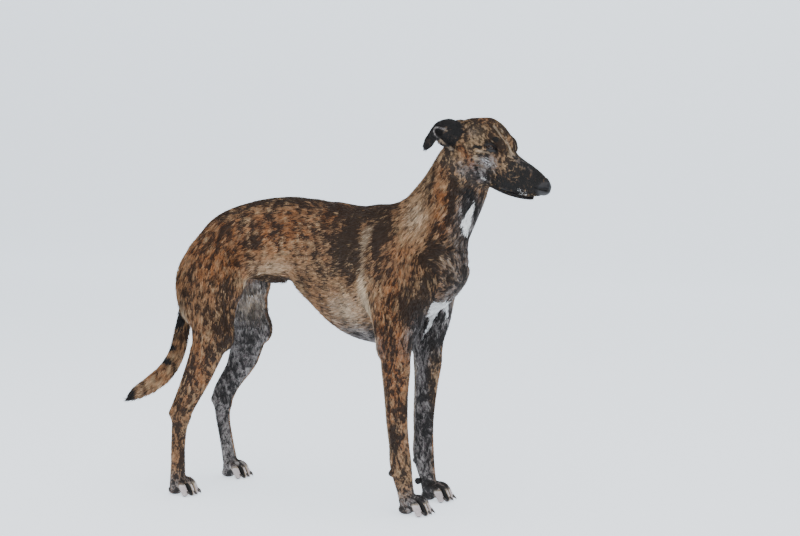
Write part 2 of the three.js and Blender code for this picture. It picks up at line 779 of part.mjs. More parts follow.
const reversed = (cuts) => cuts.map(([point, out]) => [point, scale(out, -1)]);
const headCuts = (cuts, side = 1) =>
  cuts.map(([point, out]) => {
    const tip = add(point, out).map((v, k) => (k === 1 ? v * side : v));
    const start = fromHead(point.map((v, k) => (k === 1 ? v * side : v)));
    return [start, sub(fromHead(tip), start)];
  });

// Where the body is parted
const neckBaseCut = [[[-10, 0, 652], [0.572, 0, 0.82]]];
const headBaseCut = [[[98, 0, 806], [0.55, 0, 0.835]]];
const shoulderCuts = [
  [[0, 39, 550], [0, -1, -0.087]],
  [[-123, 0, 500], [-1, 0, 0.02]],
  neckBaseCut[0],
];
const thighInner = 28;
const thighUpperCuts = [
  [[0, thighInner, 600], [0, -1, 0]],
  [[-424, 0, 580], [1, 0, -0.1]],
  [[-540, 0, 624], [-0.303, 0, 0.953]],
];
const thighLowerCuts = [
  [[0, 0.5, 500], [0, -1, 0]],
  [[-424, 0, 580], [1, 0, -0.1]],
  [[0, 0, 503], [0, 0, 1]],
];
const tailCut = [[[-637, 0, 566], [-0.92, 0, -0.39]]];
const tailTipCut = [[[-692, 0, 318], [-0.6, 0, -0.8]]];
const elbowCut = [[[-44, 75, 372], [0.12, 0, -1]]];
const wristCut = [[[-27, foreOut, 104], [0.2, 0, -1]]];
const forePawCut = [[[-12, foreOut, 44], [0.45, 0, -1]]];
const kneeCut = [[[-530, 90, 372], [-0.3, 0.1, -1]]];
const hockCut = [[[-604, 113, 168], [0, 0, -1]]];
const hindPawCut = [[[-604, hindOut, 40], [0.45, 0, -1]]];
const earCuts = [
  [[0, 41, 0], [0, -1, 0]],
  [[32, 0, 0], [1, 0, 0]],
  [[0, 0, -33], [0, 0, -1]],
];
const jawCuts = [
  [[190, 0, -42], [-0.208, 0, 0.978]],
  [[151, 0, 0], [-1, 0, 0]],
];
const noseCuts = [[[241, 0, 5], [-0.949, 0, -0.316]]];

// Colours and finishes
const finish = (color, roughness) => new THREE.MeshStandardMaterial({ color, roughness, metalness: 0 });
const coatTan = finish("#8a6444", 0.85);
const coatDark = finish("#3a2f29", 0.85);
const coatGrey = finish("#6d625b", 0.85);
const noseLeather = finish("#15130f", 0.4);
const eyeGloss = finish("#1c0f08", 0.12);
const clawHorn = finish("#1d1a18", 0.45);

const dog = new THREE.Group();
const originShift = [259.2, 0, 0];
const SLIVER_COST = 1e-3;
function keep(name, solid, material) {
  const tidy = solidOf(simplify(surfaceFrom(largest(solid)), 0, SLIVER_COST));
  const { vertProperties, triVerts } = tidy.getMesh();
  const geometry = new THREE.BufferGeometry();
  geometry.setAttribute("position", new THREE.BufferAttribute(new Float32Array(vertProperties), 3));
  geometry.setIndex([...triVerts]);
  geometry.translate(...originShift);
  geometry.computeVertexNormals();
  const mesh = new THREE.Mesh(geometry, material);
  mesh.name = name;
  dog.add(mesh);
}
function formed(field, low, high, cell, triangles) {
  return solidOf(simplify(surfaceOf(field, low, high, cell), triangles));
}
const sides = [
  { name: "left", side: 1 },
  { name: "right", side: -1 },
];
const boxOn = (side, [x0, y0, z0], [x1, y1, z1]) =>
  side > 0 ? [[x0, y0, z0], [x1, y1, z1]] : [[x0, -y1, z0], [x1, -y0, z1]];

// Torso, with the shoulders, thighs, neck and tail parted from it
let torso = formed(bodyField, [-690, -130, 340], [110, 130, 745], 7, 2120);
for (const { side } of sides) {
  torso = outside(torso, mirrored(shoulderCuts, side));
  torso = outside(torso, mirrored(thighUpperCuts, side));
  torso = outside(torso, mirrored(thighLowerCuts, side));
}
torso = inside(torso, neckBaseCut);
torso = inside(torso, tailCut);
torso = inside(torso, elbowCut);
keep("torso", torso, coatTan);

const neckSolid = formed(bodyField, [-135, -100, 560], [200, 100, 880], 6, 900);
keep("neck", inside(inside(neckSolid, reversed(neckBaseCut)), headBaseCut), coatTan);

// Head: skull and upper lip, with sockets for the eyes
const ballSurface = (radius) => {
  const ring = 14;
  const points = [[0, 0, -radius], [0, 0, radius]];
  const faces = [];
  const rows = 7;
  const at = (row, turn) => 2 + (row - 1) * ring + (turn % ring);
  for (let row = 1; row < rows; row++) {
    const up = (row / rows - 0.5) * Math.PI;
    const across = radius * Math.cos(up);
    for (let turn = 0; turn < ring; turn++) {
      const a = (turn / ring) * 2 * Math.PI;
      points.push([across * Math.cos(a), across * Math.sin(a), radius * Math.sin(up)]);
    }
  }
  for (let turn = 0; turn < ring; turn++) {
    faces.push([0, at(1, turn + 1), at(1, turn)], [1, at(rows - 1, turn), at(rows - 1, turn + 1)]);
    for (let row = 1; row < rows - 1; row++) {
      faces.push([at(row, turn), at(row, turn + 1), at(row + 1, turn + 1)]);
      faces.push([at(row, turn), at(row + 1, turn + 1), at(row + 1, turn)]);
    }
  }
  return { points, faces };
};
const eyeball = (side, radius) =>
  solidOf(ballSurface(radius)).translate(fromHead([eyePlace[0], eyePlace[1] * side, eyePlace[2]]));

const headSolid = formed(bodyField, [20, -80, 725], [330, 75, 935], 2.4, 3580);
let face = inside(headSolid, reversed(headBaseCut));
for (const { side } of sides) {
  face = outside(face, headCuts(earCuts, side));
  face = face.subtract(eyeball(side, eyeRadius + GAP));
}
keep("lower_jaw", inside(face, headCuts(jawCuts)), coatDark);
keep("nose", inside(outside(face, headCuts(jawCuts)), headCuts(noseCuts)), noseLeather);
keep("head", inside(outside(face, headCuts(jawCuts)), headCuts(reversed(noseCuts))), coatDark);
for (const { name, side } of sides) {
  const low = side > 0 ? [-20, 10, 810] : [-20, -100, 810];
  const high = side > 0 ? [130, 90, 925] : [130, -15, 925];
  const ear = formed(earField, low, high, 1.4, 600);
  keep("ear_" + name, inside(ear, headCuts([earCuts[0], earCuts[1]], side)), coatDark);
  keep("eye_" + name, eyeball(side, eyeRadius), eyeGloss);
}

// Tail, in two lengths
const tailSolid = formed(bodyField, [-850, -30, 185], [-590, 30, 620], 4, 520);
const tailBase = inside(tailSolid, reversed(tailCut));
keep("tail_base", inside(tailBase, tailTipCut), coatTan);
keep("tail_tip", inside(tailSolid, reversed(tailTipCut)), coatDark);

// Claws: short bent cones, each in a socket in its toe
const CLAW_SIDES = 6;
function clawSurface(root, size, grow) {
  const rings = [[-7, 1, 3.2], [0, 1, 3], [5, -0.8, 2.5], [9, -3.8, 1.4]];
  const points = [];
  const faces = [];
  rings.forEach(([along, up, radius], row) => {
    const r = radius * size + grow;
    const push = along * size + (row === 0 ? -grow : 0);
    for (let turn = 0; turn < CLAW_SIDES; turn++) {
      const a = (turn / CLAW_SIDES) * 2 * Math.PI;
      points.push([root[0] + push, root[1] + r * 0.8 * Math.cos(a), root[2] + up * size + r * Math.sin(a)]);
    }
  });
  const ring = (row, turn) => row * CLAW_SIDES + (turn % CLAW_SIDES);
  const last = rings.length - 1;
  const start = points.push([root[0] - 7 * size - grow, root[1], root[2] + size]) - 1;
  const end = points.push([root[0] + 10.5 * size + grow, root[1], root[2] - 5.8 * size]) - 1;
  for (let turn = 0; turn < CLAW_SIDES; turn++) {
    faces.push([start, ring(0, turn + 1), ring(0, turn)], [end, ring(last, turn), ring(last, turn + 1)]);
    for (let row = 0; row < last; row++) {
      faces.push([ring(row, turn), ring(row, turn + 1), ring(row + 1, turn + 1)]);
      faces.push([ring(row, turn), ring(row + 1, turn + 1), ring(row + 1, turn)]);
    }
  }
  return { points, faces };
}
function keepPaw(name, side, at, out, size, solid, clawNames) {
  let paw = solid;
  toes.forEach(({ aside, reach }, i) => {
    const root = [at + (reach + 5) * size, side * (out + aside * 1.1 * size), 11 * size];
    paw = paw.subtract(solidOf(clawSurface(root, size, GAP)));
    keep(name + "_claw_" + clawNames[i], solidOf(clawSurface(root, size, 0)), clawHorn);
  });
  keep(name, paw, coatGrey);
}
const clawNames = ["inner", "mid_inner", "mid_outer", "outer"];

for (const { name, side } of sides) {
  const shoulder = formed(bodyField, ...boxOn(side, [-145, 22, 340], [100, 130, 730]), 6, 800);
  const cuts = mirrored(shoulderCuts, side);
  const upper = inside(shoulder, cuts);
  keep("shoulder_" + name, inside(upper, elbowCut), coatTan);
  const lower = formed(bodyField, ...boxOn(side, [-110, 30, 70], [30, 130, 400]), 4.5, 460);
  const below = inside(lower, reversed(elbowCut));
  keep("forearm_" + name, inside(below, wristCut), coatTan);
  const paw = formed(bodyField, ...boxOn(side, [-92, 40, -8], [70, 125, 130]), 2.4, 870);
  const pawUnder = inside(paw, reversed(wristCut));
  const foreCut = carried(forePawCut, foreLead(0, side));
  const [dewX, dewY, dewZ] = dewclawPlace;
  const dewRoot = [dewX + foreLead(dewZ, side), side * dewY, dewZ - 1];
  const foreUpper = inside(pawUnder, foreCut);
  keep("fore_pastern_" + name, foreUpper.subtract(solidOf(clawSurface(dewRoot, dewclawSize, GAP))), coatGrey);
  keep("fore_pastern_" + name + "_dewclaw", solidOf(clawSurface(dewRoot, dewclawSize, 0)), clawHorn);
  const pawAlone = inside(pawUnder, reversed(foreCut)).trimByPlane([0, 0, 1], 0);
  keepPaw("fore_paw_" + name, side, forePawX + foreLead(0, side), foreOut, 1, pawAlone, clawNames);

  const thighSolid = formed(bodyField, ...boxOn(side, [-670, -12, 330], [-410, 140, 700]), 6, 800);
  const thighTop = inside(thighSolid, mirrored(thighUpperCuts, side));
  const thighPart = thighTop.add(inside(thighSolid, mirrored(thighLowerCuts, side)));
  keep("thigh_" + name, inside(thighPart, mirrored(kneeCut, side)), coatTan);
  const shin = formed(bodyField, ...boxOn(side, [-680, 55, 140], [-440, 150, 430]), 4.5, 480);
  keep("lower_thigh_" + name, inside(inside(shin, mirrored(reversed(kneeCut), side)), hockCut), coatTan);
  const foot = formed(bodyField, ...boxOn(side, [-670, 75, -8], [-520, 158, 200]), 2.6, 870);
  const footUnder = inside(foot, reversed(hockCut));
  const hindCut = carried(hindPawCut, hindLead(0, side));
  keep("hind_pastern_" + name, inside(footUnder, hindCut), coatGrey);
  const footAlone = inside(footUnder, reversed(hindCut)).trimByPlane([0, 0, 1], 0);
  keepPaw("hind_paw_" + name, side, hindPawX + hindLead(0, side), hindOut, hindPawSize, footAlone, clawNames);
}

export default dog;
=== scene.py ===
import math
from concurrent.futures import ThreadPoolExecutor

import bpy
import numpy as np
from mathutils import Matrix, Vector


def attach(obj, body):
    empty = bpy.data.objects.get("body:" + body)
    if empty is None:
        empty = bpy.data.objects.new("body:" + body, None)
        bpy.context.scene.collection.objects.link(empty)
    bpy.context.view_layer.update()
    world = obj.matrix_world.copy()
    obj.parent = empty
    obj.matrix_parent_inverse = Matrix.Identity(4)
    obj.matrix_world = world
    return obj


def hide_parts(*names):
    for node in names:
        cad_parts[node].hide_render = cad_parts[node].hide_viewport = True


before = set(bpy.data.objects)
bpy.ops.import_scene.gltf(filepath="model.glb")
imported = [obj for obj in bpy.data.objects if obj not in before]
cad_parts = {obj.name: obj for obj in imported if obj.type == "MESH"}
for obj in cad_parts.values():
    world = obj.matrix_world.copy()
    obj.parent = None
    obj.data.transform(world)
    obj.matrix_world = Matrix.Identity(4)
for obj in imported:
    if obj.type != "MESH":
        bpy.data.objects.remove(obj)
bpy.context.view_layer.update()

# Skin
# The living skin of the whole dog: one closed hide with no seam, drawn over bones and
# muscles. Each form below is a smooth swelling of flesh, in millimetres, and all of them
# run into one another. It lies under the tips of the coat by the depth of the hair.
CURVE_STEPS = 6
# A form is measured exactly only this near to it
EXACT_WITHIN = 45
# The forms are placed from under the chest, and the frame from under the middle of the dog
FLOOR_SHIFT = np.array([259.2, 0, 0])


def together(a, b, width):
    near = np.maximum(width - np.abs(a - b), 0) / width
    return np.minimum(a, b) - near * near * width / 4


def hollow(a, b, width):
    return -together(-a, b, width)


def round_form(u, v, w, ru, rv, rw):
    k0 = np.sqrt((u / ru) ** 2 + (v / rv) ** 2 + (w / rw) ** 2)
    k1 = np.sqrt((u / ru**2) ** 2 + (v / rv**2) ** 2 + (w / rw**2) ** 2)
    return k0 * (k0 - 1) / np.maximum(k1, 1e-9)


def lump(centre, radii):
    return lambda p: round_form(*(p - centre).T, *radii)


def ball(centre, radius):
    return lambda p: np.linalg.norm(p - centre, axis=1) - radius


class Swept:
    """Flesh swept along a curve. Station: x, y, z, then half-thickness over, under, to the side."""

    def __init__(self, stations, ends=None, egg=0.0):
        s = np.array(stations, float)
        last = len(s) - 1
        rows = []
        for i in range(last):
            before, a, b, after = s[max(i - 1, 0)], s[i], s[i + 1], s[min(i + 2, last)]
            for j in range(CURVE_STEPS):
                t = j / CURVE_STEPS
                leave, arrive = (b - before) / 2, (after - a) / 2
                rows.append(
                    (2 * t**3 - 3 * t**2 + 1) * a
                    + (t**3 - 2 * t**2 + t) * leave
                    + (3 * t**2 - 2 * t**3) * b
                    + (t**3 - t**2) * arrive
                )
        rows.append(s[last])
        self.rows = np.array(rows)
        self.egg = egg
        places = self.rows[:, :3]
        along = np.gradient(places, axis=0)
        along /= np.linalg.norm(along, axis=1, keepdims=True)
        side = np.array([0.0, 1.0, 0.0]) - along * along[:, 1:2]
        side /= np.linalg.norm(side, axis=1, keepdims=True)
        self.frames = np.stack([np.cross(along, side), side, along], axis=1)
        reach = self.rows[:, 3:].max(axis=1, keepdims=True)
        self.low = (places - reach).min(axis=0)
        self.high = (places + reach).max(axis=0)
        self.ends = ends or [self.rows[0, 3:].min(), self.rows[-1, 3:].min()]
        self.middle = places.mean(axis=0)
        self.start = places[:-1] - self.middle
        self.run = np.diff(places, axis=0)
        self.run2 = (self.run**2).sum(axis=1)
        self.start_run = (self.start * self.run).sum(axis=1)

    def nearest(self, p):
        q = p - self.middle
        along = q @ self.run.T - self.start_run
        t = np.clip(along / self.run2, 0, 1)
        gap = (q**2).sum(axis=1)[:, None] - 2 * q @ self.start.T + (self.start**2).sum(axis=1)
        gap += t * (t * self.run2 - 2 * along)
        where = gap.argmin(axis=1)
        each = np.arange(len(p))
        return where, t[each, where], np.sqrt(np.maximum(gap[each, where], 0))

    def __call__(self, p):
        out = np.maximum(np.maximum(self.low - p, p - self.high), 0)
        away = np.sqrt((out**2).sum(axis=1))
        near = np.flatnonzero(away <= EXACT_WITHIN)
        if near.size:
            away[near] = self.within(p[near])
        return away

    def within(self, p):
        where, t, gap = self.nearest(p)
        t = t[:, None]
        row = self.rows[where] * (1 - t) + self.rows[where + 1] * t
        turn = self.frames[where] * (1 - t[:, :, None]) + self.frames[where + 1] * t[:, :, None]
        off = p - row[:, :3]
        over, across, ahead = np.einsum("nij,nj->in", turn, off)
        tall = np.where(over > 0, row[:, 3], row[:, 4])
        wide = row[:, 5] * (1 + self.egg * np.clip(over / tall, -1, 1))
        place = where + t[:, 0]
        first, final = place <= 0, place >= len(self.rows) - 1
        inner = ~(first | final)
        full = np.where(inner, gap / np.maximum(np.hypot(over, across), 1e-6), 1)
        end = np.where(first, self.ends[0], np.where(final, self.ends[1], tall))
        return round_form(over * full, across * full, np.where(inner, 0, ahead), tall, wide, end)

    def heading(self, p):
        return self.frames[self.nearest(p)[0], 2]


trunk = Swept(
    [
        [-594, 0, 576, 38, 56, 40],
        [-562, 0, 590, 66, 70, 52],
        [-505, 0, 612, 83, 90, 63],
        [-430, 0, 628, 90, 114, 62],
        [-365, 0, 632, 95, 114, 60],
        [-318, 0, 622, 105, 108, 66],
        [-266, 0, 603, 120, 132, 77],
        [-200, 0, 584, 129, 167, 89],
        [-140, 0, 572, 142, 184, 91],
        [-70, 0, 568, 140, 186, 84],
        [-4, 0, 554, 118, 148, 72],
        [40, 0, 514, 84, 84, 52],
    ],
    ends=[26, 30],
    egg=0.2,
)
neck = Swept(
    [
        [-60, 0, 590, 92, 92, 72],
        [-12, 0, 636, 92, 100, 65],
        [54, 0, 736, 71, 88, 50],
        [96, -2, 808, 65, 73, 44],
        [118, -4, 850, 52, 50, 40],
    ]
)

# Head, in a frame of its own: x to the nose, y to the left, z out of the crown
HEAD_PLACE = np.array([85, -3, 880])
HEAD_DOWN = math.radians(30)
HEAD_TURN = math.radians(-8)
level = math.cos(HEAD_DOWN)
to_nose = np.array([level * math.cos(HEAD_TURN), level * math.sin(HEAD_TURN), -math.sin(HEAD_DOWN)])
to_left = np.array([-math.sin(HEAD_TURN), math.cos(HEAD_TURN), 0])
HEAD_AXES = np.stack([to_nose, to_left, np.cross(to_nose, to_left)])


def in_head(p):
    return (p - HEAD_PLACE) @ HEAD_AXES.T


def from_head(q):
    return HEAD_PLACE + np.asarray(q, float) @ HEAD_AXES


def in_half_head(p):
    """A place in the head's own frame, with its right half folded on to the left."""
    q = in_head(p)
    q[:, 1] = np.abs(q[:, 1])
    return q


skull = Swept(
    [
        [2, 0, 2, 30, 42, 33],
        [25, 0, 6, 45, 50, 40],
        [55, 0, 8, 61, 54, 41],
        [82, 0, 10, 62, 54, 37],
        [106, 0, 8, 54, 52, 33],
        [126, 0, 1, 42, 49, 30],
        [146, 0, -5, 39, 49, 28.5],
        [175, 0, -8, 39, 45, 26.5],
        [204, 0, -7, 38, 36, 24],
        [232, 0, -3, 32, 25, 20],
        [249, 0, 1, 25, 15, 15],
    ],
    egg=-0.12,
)
jaw = Swept(
    [
        [35, 0, -34, 18, 22, 34],
        [90, 0, -44, 18, 23, 29],
        [140, 0, -47, 14, 17, 23],
        [185, 0, -42, 10, 13, 17],
        [214, 0, -36, 8, 9, 13],
        [232, 0, -29, 6, 7, 9],
    ]
)
cheek = lump([58, 33, -22], [32, 17, 27])
cheekbone = Swept(
    [
        [124, 28, 3, 8, 8, 7],
        [104, 37, 1, 9, 9, 8],
        [80, 41, 2, 10, 10, 8],
        [42, 39, 6, 11, 11, 9],
    ]
)
brow = Swept(
    [
        [78, 28, 44, 11, 10, 9],
        [100, 31, 44, 9, 8, 8],
        [116, 32, 42, 8, 8, 8],
        [128, 27, 33, 8, 8, 7],
    ]
)
lip = Swept(
    [
        [148, 20, -36, 12, 14, 9],
        [180, 18, -33, 12, 14, 9],
        [212, 14, -25, 12, 14, 9],
        [234, 9, -16, 9, 11, 8],
        [245, 3, -8, 7, 7, 6],
    ]
)
nose_pad = lump([253, 0, 3], [14, 15, 15.5])
nostril = Swept(
    [
        [270, 6.5, 7, 3.6, 3.6, 3.6],
        [260, 9, 5.5, 4, 4, 4],
        [253, 14, 2.5, 3, 3, 4],
        [245, 17, -1.5, 1.6, 1.4, 3],
        [238, 18, -3, 0.8, 0.8, 2],
    ]
)
mouth_line = Swept(
    [
        [152, 32, -47.5, 1, 1, 3],
        [161, 31, -50.6, 1.6, 1.6, 5],
        [177, 27, -47.7, 1.6, 1.6, 6],
        [198, 22, -41, 1.6, 1.6, 6],
        [214, 18, -38.6, 1.6, 1.6, 6],
        [230, 13, -33, 1.6, 1.6, 7],
        [244, 4, -23, 1.6, 1.6, 7],
        [246, -4, -21, 1.6, 1.6, 7],
    ]
)
EYE_PLACE = np.array([101, 28, 22.5])
EYE_RADIUS = 11.5
lids = ball(EYE_PLACE, EYE_RADIUS + 2.0)
eye_slit = Swept(
    [
        [92, 42, 16.5, 1.6, 1.6, 9],
        [98, 42, 20.5, 5, 4, 9],
        [106, 40, 23.5, 5.6, 4.4, 9],
        [113, 36, 25, 3, 3, 9],
        [118, 33, 23, 1.4, 1.4, 8],
    ]
)


def head_flesh(p):
    q = in_half_head(p)
    d = skull(q)
    swellings = [(jaw, 12), (cheek, 14), (cheekbone, 20), (brow, 18), (lip, 8), (nose_pad, 7), (lids, 5)]
    for form, width in swellings:
        d = together(d, form(q), width)
    for form, width in [(eye_slit, 1.2), (nostril, 1.5), (mouth_line, 1.5)]:
        d = hollow(d, form(q), width)
    return d


# Ear: a round base folded back over a cup, its flap hanging behind
ear_leather = Swept(
    [
        [24, 33, 6, 24, 26, 10],
        [8, 42, 4, 31, 29, 11],
        [-8, 49, 2, 28, 27, 9],
        [-21, 55, -5, 21, 19, 7],
        [-27, 59, -24, 13, 14, 4.5],
        [-29, 61, -43, 12, 13, 3.2],
        [-31, 61, -55, 7, 9, 2.4],
    ],
    ends=[6, 7],
)
ear_fold = lump([0, 52, -25], [19, 7, 7])
ear_cup = Swept(
    [
        [-7, 62, -10, 5, 5, 5],
        [-14, 62.5, -9, 7, 7, 8],
        [-21, 63.5, -9, 6.5, 6.5, 8],
        [-25, 64, -14, 3, 3, 5],
    ]
)
flap_hollow = Swept(
    [
        [-28, 67, -26, 7, 7, 4.5],
        [-29, 66, -42, 7, 7, 4],
        [-30, 64, -54, 3, 4, 2.5],
    ]
)
ear_rim = Swept(
    [
        [27, 47, -27, 3, 3, 3],
        [14, 53.5, -26, 3, 3, 3],
        [2, 57.5, -23.5, 2.8, 2.8, 2.8],
        [-9, 60, -21, 2.6, 2.6, 2.6],
        [-19, 61, -19, 2.4, 2.4, 2.4],
        [-27, 62, -15, 2.3, 2.3, 2.3],
        [-30, 62.5, -8, 2.3, 2.3, 2.3],
        [-27, 62, -1, 2.3, 2.3, 2.3],
        [-19, 61, 2.5, 2.3, 2.3, 2.3],
        [-10, 59.5, 4, 2, 2, 2],
        [-2, 56, 4, 1.6, 1.6, 1.6],
    ]
)


def ear_flesh(p):
    q = in_half_head(p)
    d = together(ear_leather(q), ear_fold(q), 5)
    d = hollow(d, ear_cup(q), 2)
    d = hollow(d, flap_hollow(q), 3)
    return together(d, ear_rim(q), 2)


# Legs, drawn once and carried forward or back, since the legs of a pair don't stand alike
FORE_OUT = 79
HIND_OUT = 116
shoulder_blade = Swept(
    [
        [-92, 30, 690, 18, 24, 12],
        [-40, 54, 625, 36, 42, 20],
        [14, 66, 540, 38, 40, 24],
    ]
)
upper_arm = Swept(
    [
        [14, 68, 532, 40, 40, 26],
        [-20, 70, 455, 42, 46, 28],
        [-48, 74, 385, 38, 36, 25],
    ]
)
triceps = Swept(
    [
        [-92, 52, 605, 28, 34, 16],
        [-84, 64, 520, 42, 40, 24],
        [-74, 72, 440, 34, 28, 22],
        [-78, 75, 374, 14, 10, 11],
    ]
)
forearm = Swept(
    [
        [-48, 75, 390, 36, 34, 24],
        [-44, 75, 340, 36, 35, 24],
        [-43, 76, 280, 30, 29, 20],
        [-39, 78, 210, 26, 26, 17.5],
        [-33, FORE_OUT, 160, 24, 25, 17],
        [-30, FORE_OUT, 120, 26, 26, 20],
        [-25, FORE_OUT, 88, 24, 24, 18],
        [-18, FORE_OUT, 56, 20, 20, 18],
        [-12, FORE_OUT, 34, 18, 20, 22],
    ]
)
carpal_pad = ball([-51, FORE_OUT + 4, 92], 8)
DEWCLAW_PLACE = np.array([-35, FORE_OUT - 20, 47])
dewclaw_toe = lump(DEWCLAW_PLACE, [8, 6, 8.5])
thigh = Swept(
    [
        [-508, 36, 632, 40, 44, 28],
        [-528, 48, 588, 70, 74, 40],
        [-540, 60, 535, 92, 96, 46],
        [-541, 70, 480, 86, 91, 43],
        [-530, 81, 425, 61, 65, 36],
        [-531, 90, 385, 52, 50, 30],
        [-541, 98, 335, 40, 40, 24],
        [-560, 105, 282, 33, 33, 19],
        [-584, 111, 228, 26, 25, 16.5],
        [-604, 113, 190, 25, 24, 18],
    ]
)
heel_tendon = Swept(
    [
        [-574, 92, 356, 7, 9, 9],
        [-602, 104, 270, 8, 8, 7],
        [-624, 113, 204, 9, 9, 9],
    ]
)
hock_point = Swept(
    [
        [-604, 113, 184, 15, 15, 14],
        [-625, 114, 197, 9, 9, 9],
    ]
)
shank = Swept(
    [
        [-602, 113, 192, 26, 24, 18],
        [-606, 114, 160, 21, 21, 15.5],
        [-609, 115, 120, 19, 19, 14],
        [-609, HIND_OUT, 80, 18, 19, 14.5],
        [-606, HIND_OUT, 52, 18, 19, 17],
        [-601, HIND_OUT, 33, 18, 20, 20],
    ]
)
stifle = lump([-486, 90, 390], [20, 20, 32])
flank = Swept(
    [
        [-352, 26, 560, 20, 30, 12],
        [-398, 46, 566, 22, 26, 11],
        [-446, 58, 560, 30, 30, 14],
    ]
)


def eased(value, start, end):
    t = np.clip((value - start) / (end - start), 0, 1)
    return t * t * (3 - 2 * t)


def fore_lead(z, side):
    """The left foreleg has its foot further back and its elbow further forward."""
    ahead = (28 * eased(z, 90, 360) - 12) * (1 - eased(z, 400, 520))
    return np.where(side > 0, ahead, 0)


def hind_lead(z, side):
    """The left hind leg has its foot and knee further forward and its hock further back."""
    hock = eased(z, 50, 200) * (1 - eased(z, 220, 310))
    ahead = (6 - 22 * hock) * (1 - eased(z, 380, 480))
    return np.where(side > 0, ahead, -8 * (1 - eased(z, 25, 80)))


def one_sided(p, lead):
    ahead = lead(p[:, 2], p[:, 1])
    return np.stack([p[:, 0] - ahead, np.abs(p[:, 1]), p[:, 2]], axis=1)


def foreleg_flesh(q):
    d = together(shoulder_blade(q), upper_arm(q), 24)
    d = together(d, triceps(q), 14)
    lower = together(together(forearm(q), carpal_pad(q), 6), dewclaw_toe(q), 8)
    return together(d, lower, 16)


def hindleg_flesh(q):
    d = together(thigh(q), flank(q), 24)
    d = together(d, heel_tendon(q), 14)
    d = together(d, stifle(q), 20)
    d = together(d, hock_point(q), 8)
    return together(d, shank(q), 10)


# Paw: four arched toes before a heel pad; aside, reach and height of each toe
TOES = [(-23, 35, 22), (-8.5, 45, 27), (8.5, 45, 27), (23, 35, 22)]
FORE_PAW_X = -7
HIND_PAW_X = -601
HIND_PAW_SIZE = 0.97


def paw_form(at_x, at_y, size):
    forms = []
    for aside, reach, height in TOES:
        rows = [
            (-0.1, 0.72, 32, 9.4, 8.4),
            (0.36, 0.92, height + 9, 9.6, 8.2),
            (0.7, 1.04, height + 5, 9, 8),
            (0.9, 1.08, height * 0.66, 8.8, 7.8),
            (1, 1.1, 7.8, 8.6, 7.6),
        ]
        stations = []
        for ahead, out, up, tall, wide in rows:
            place = [at_x + reach * ahead * size, at_y + aside * out * size, up * size]
            stations.append(place + [tall * size, tall * size, wide * size])
        forms.append(Swept(stations))
    heel_pad = lump([at_x - 8 * size, at_y, 11 * size], np.array([18, 20, 13]) * size)
    bridge = lump([at_x + 1 * size, at_y, 26 * size], np.array([22, 22, 16]) * size)
    web = lump([at_x + 20 * size, at_y, 17 * size], np.array([17, 22, 11]) * size)

    def paw(q):
        d = together(heel_pad(q), bridge(q), 8)
        d = together(d, web(q), 4)
        for form in forms:
            d = together(d, form(q), 2)
        return d

    return paw


fore_paw = paw_form(FORE_PAW_X, FORE_OUT, 1)
hind_paw = paw_form(HIND_PAW_X, HIND_OUT, HIND_PAW_SIZE)
tail = Swept(
    [
        [-590, 0, 610, 26, 26, 22],
        [-626, 0, 580, 21, 22, 20],
        [-647, 0, 520, 17, 17, 16],
        [-653, 0, 450, 16, 16, 15],
        [-667, 0, 385, 20, 17, 15],
        [-686, 0, 328, 25, 18, 16],
        [-718, 0, 282, 26, 19, 16],
        [-762, 0, 248, 25, 18, 15],
        [-806, 0, 222, 19, 13, 11],
        [-832, 0, 203, 6, 4, 4],
    ]
)


def coat_depth(p):
    """How far under the tips of the hair the skin lies: thin on the head, feet and ears."""
    head = eased(in_head(p)[:, 0], -60, 40)
    feet = 1 - eased(p[:, 2], 30, 200)
    return 2.4 - 1.8 * np.maximum(head, feet)


def flesh(p):
    fore = one_sided(p, fore_lead)
    hind = one_sided(p, hind_lead)
    d = together(trunk(p), neck(p), 38)
    d = together(d, foreleg_flesh(fore), 22)
    d = together(d, hindleg_flesh(hind), 26)
    d = together(d, np.minimum(fore_paw(fore), hind_paw(hind)), 6)
    d = together(d, head_flesh(p), 20)
    d = together(d, tail(p), 14)
    d = d + coat_depth(p)
    d = together(d, ear_flesh(p) + 0.3, 3)
    return np.maximum(d, 0.2 - p[:, 2])


def measured(field, p, lot=6000):
    lots = [p[i : i + lot] for i in range(0, len(p), lot)]
    with ThreadPoolExecutor(4) as hands:
        return np.concatenate(list(hands.map(field, lots)))


# The skin is drawn through a lattice of small cells, closer set on the head, ears and feet
CELL = 1.8
CLOSER = [
    (from_head([120, 0, 0]), 150, 0.25),
    (from_head([101, 30, 22]), 34, 0.35),
    (from_head([101, -30, 22]), 34, 0.35),
    (from_head([240, 0, -8]), 45, 0.35),
    (from_head([-5, 52, -10]), 50, 0.3),
    (from_head([-5, -52, -10]), 50, 0.3),
] + [
    (np.array([x, side * y, 14]), 55, 0.3)
    for x, y in ((FORE_PAW_X + 15, FORE_OUT), (HIND_PAW_X + 12, HIND_OUT))
    for side in (1, -1)
]


def off_lattice(q):
    p = q.copy()
    for centre, reach, pull in CLOSER:
        off = q - centre
        p -= off * (pull * np.exp(-(off**2).sum(axis=1) / reach**2))[:, None]
    return p


OCTANT = np.array([[i & 1, (i >> 1) & 1, (i >> 2) & 1] for i in range(8)])


def cells_near(field, low, high, cell, halvings=3):
    """The cells that the skin may cross: large ones first, then the eighths of those it is near to."""
    size = cell * 2**halvings
    count = np.ceil((high - low) / size).astype(int)
    cells = np.indices(count).reshape(3, -1).T
    for _ in range(halvings):
        d = measured(field, off_lattice(low + (cells + 0.5) * size))
        # Half the diagonal of a cell, and a little more for the pull of the lattice
        reach = size * 0.95 + 0.5
        cells = cells[np.abs(d) < reach]
        cells = (cells[:, None, :] * 2 + OCTANT).reshape(-1, 3)
        size /= 2
    return cells


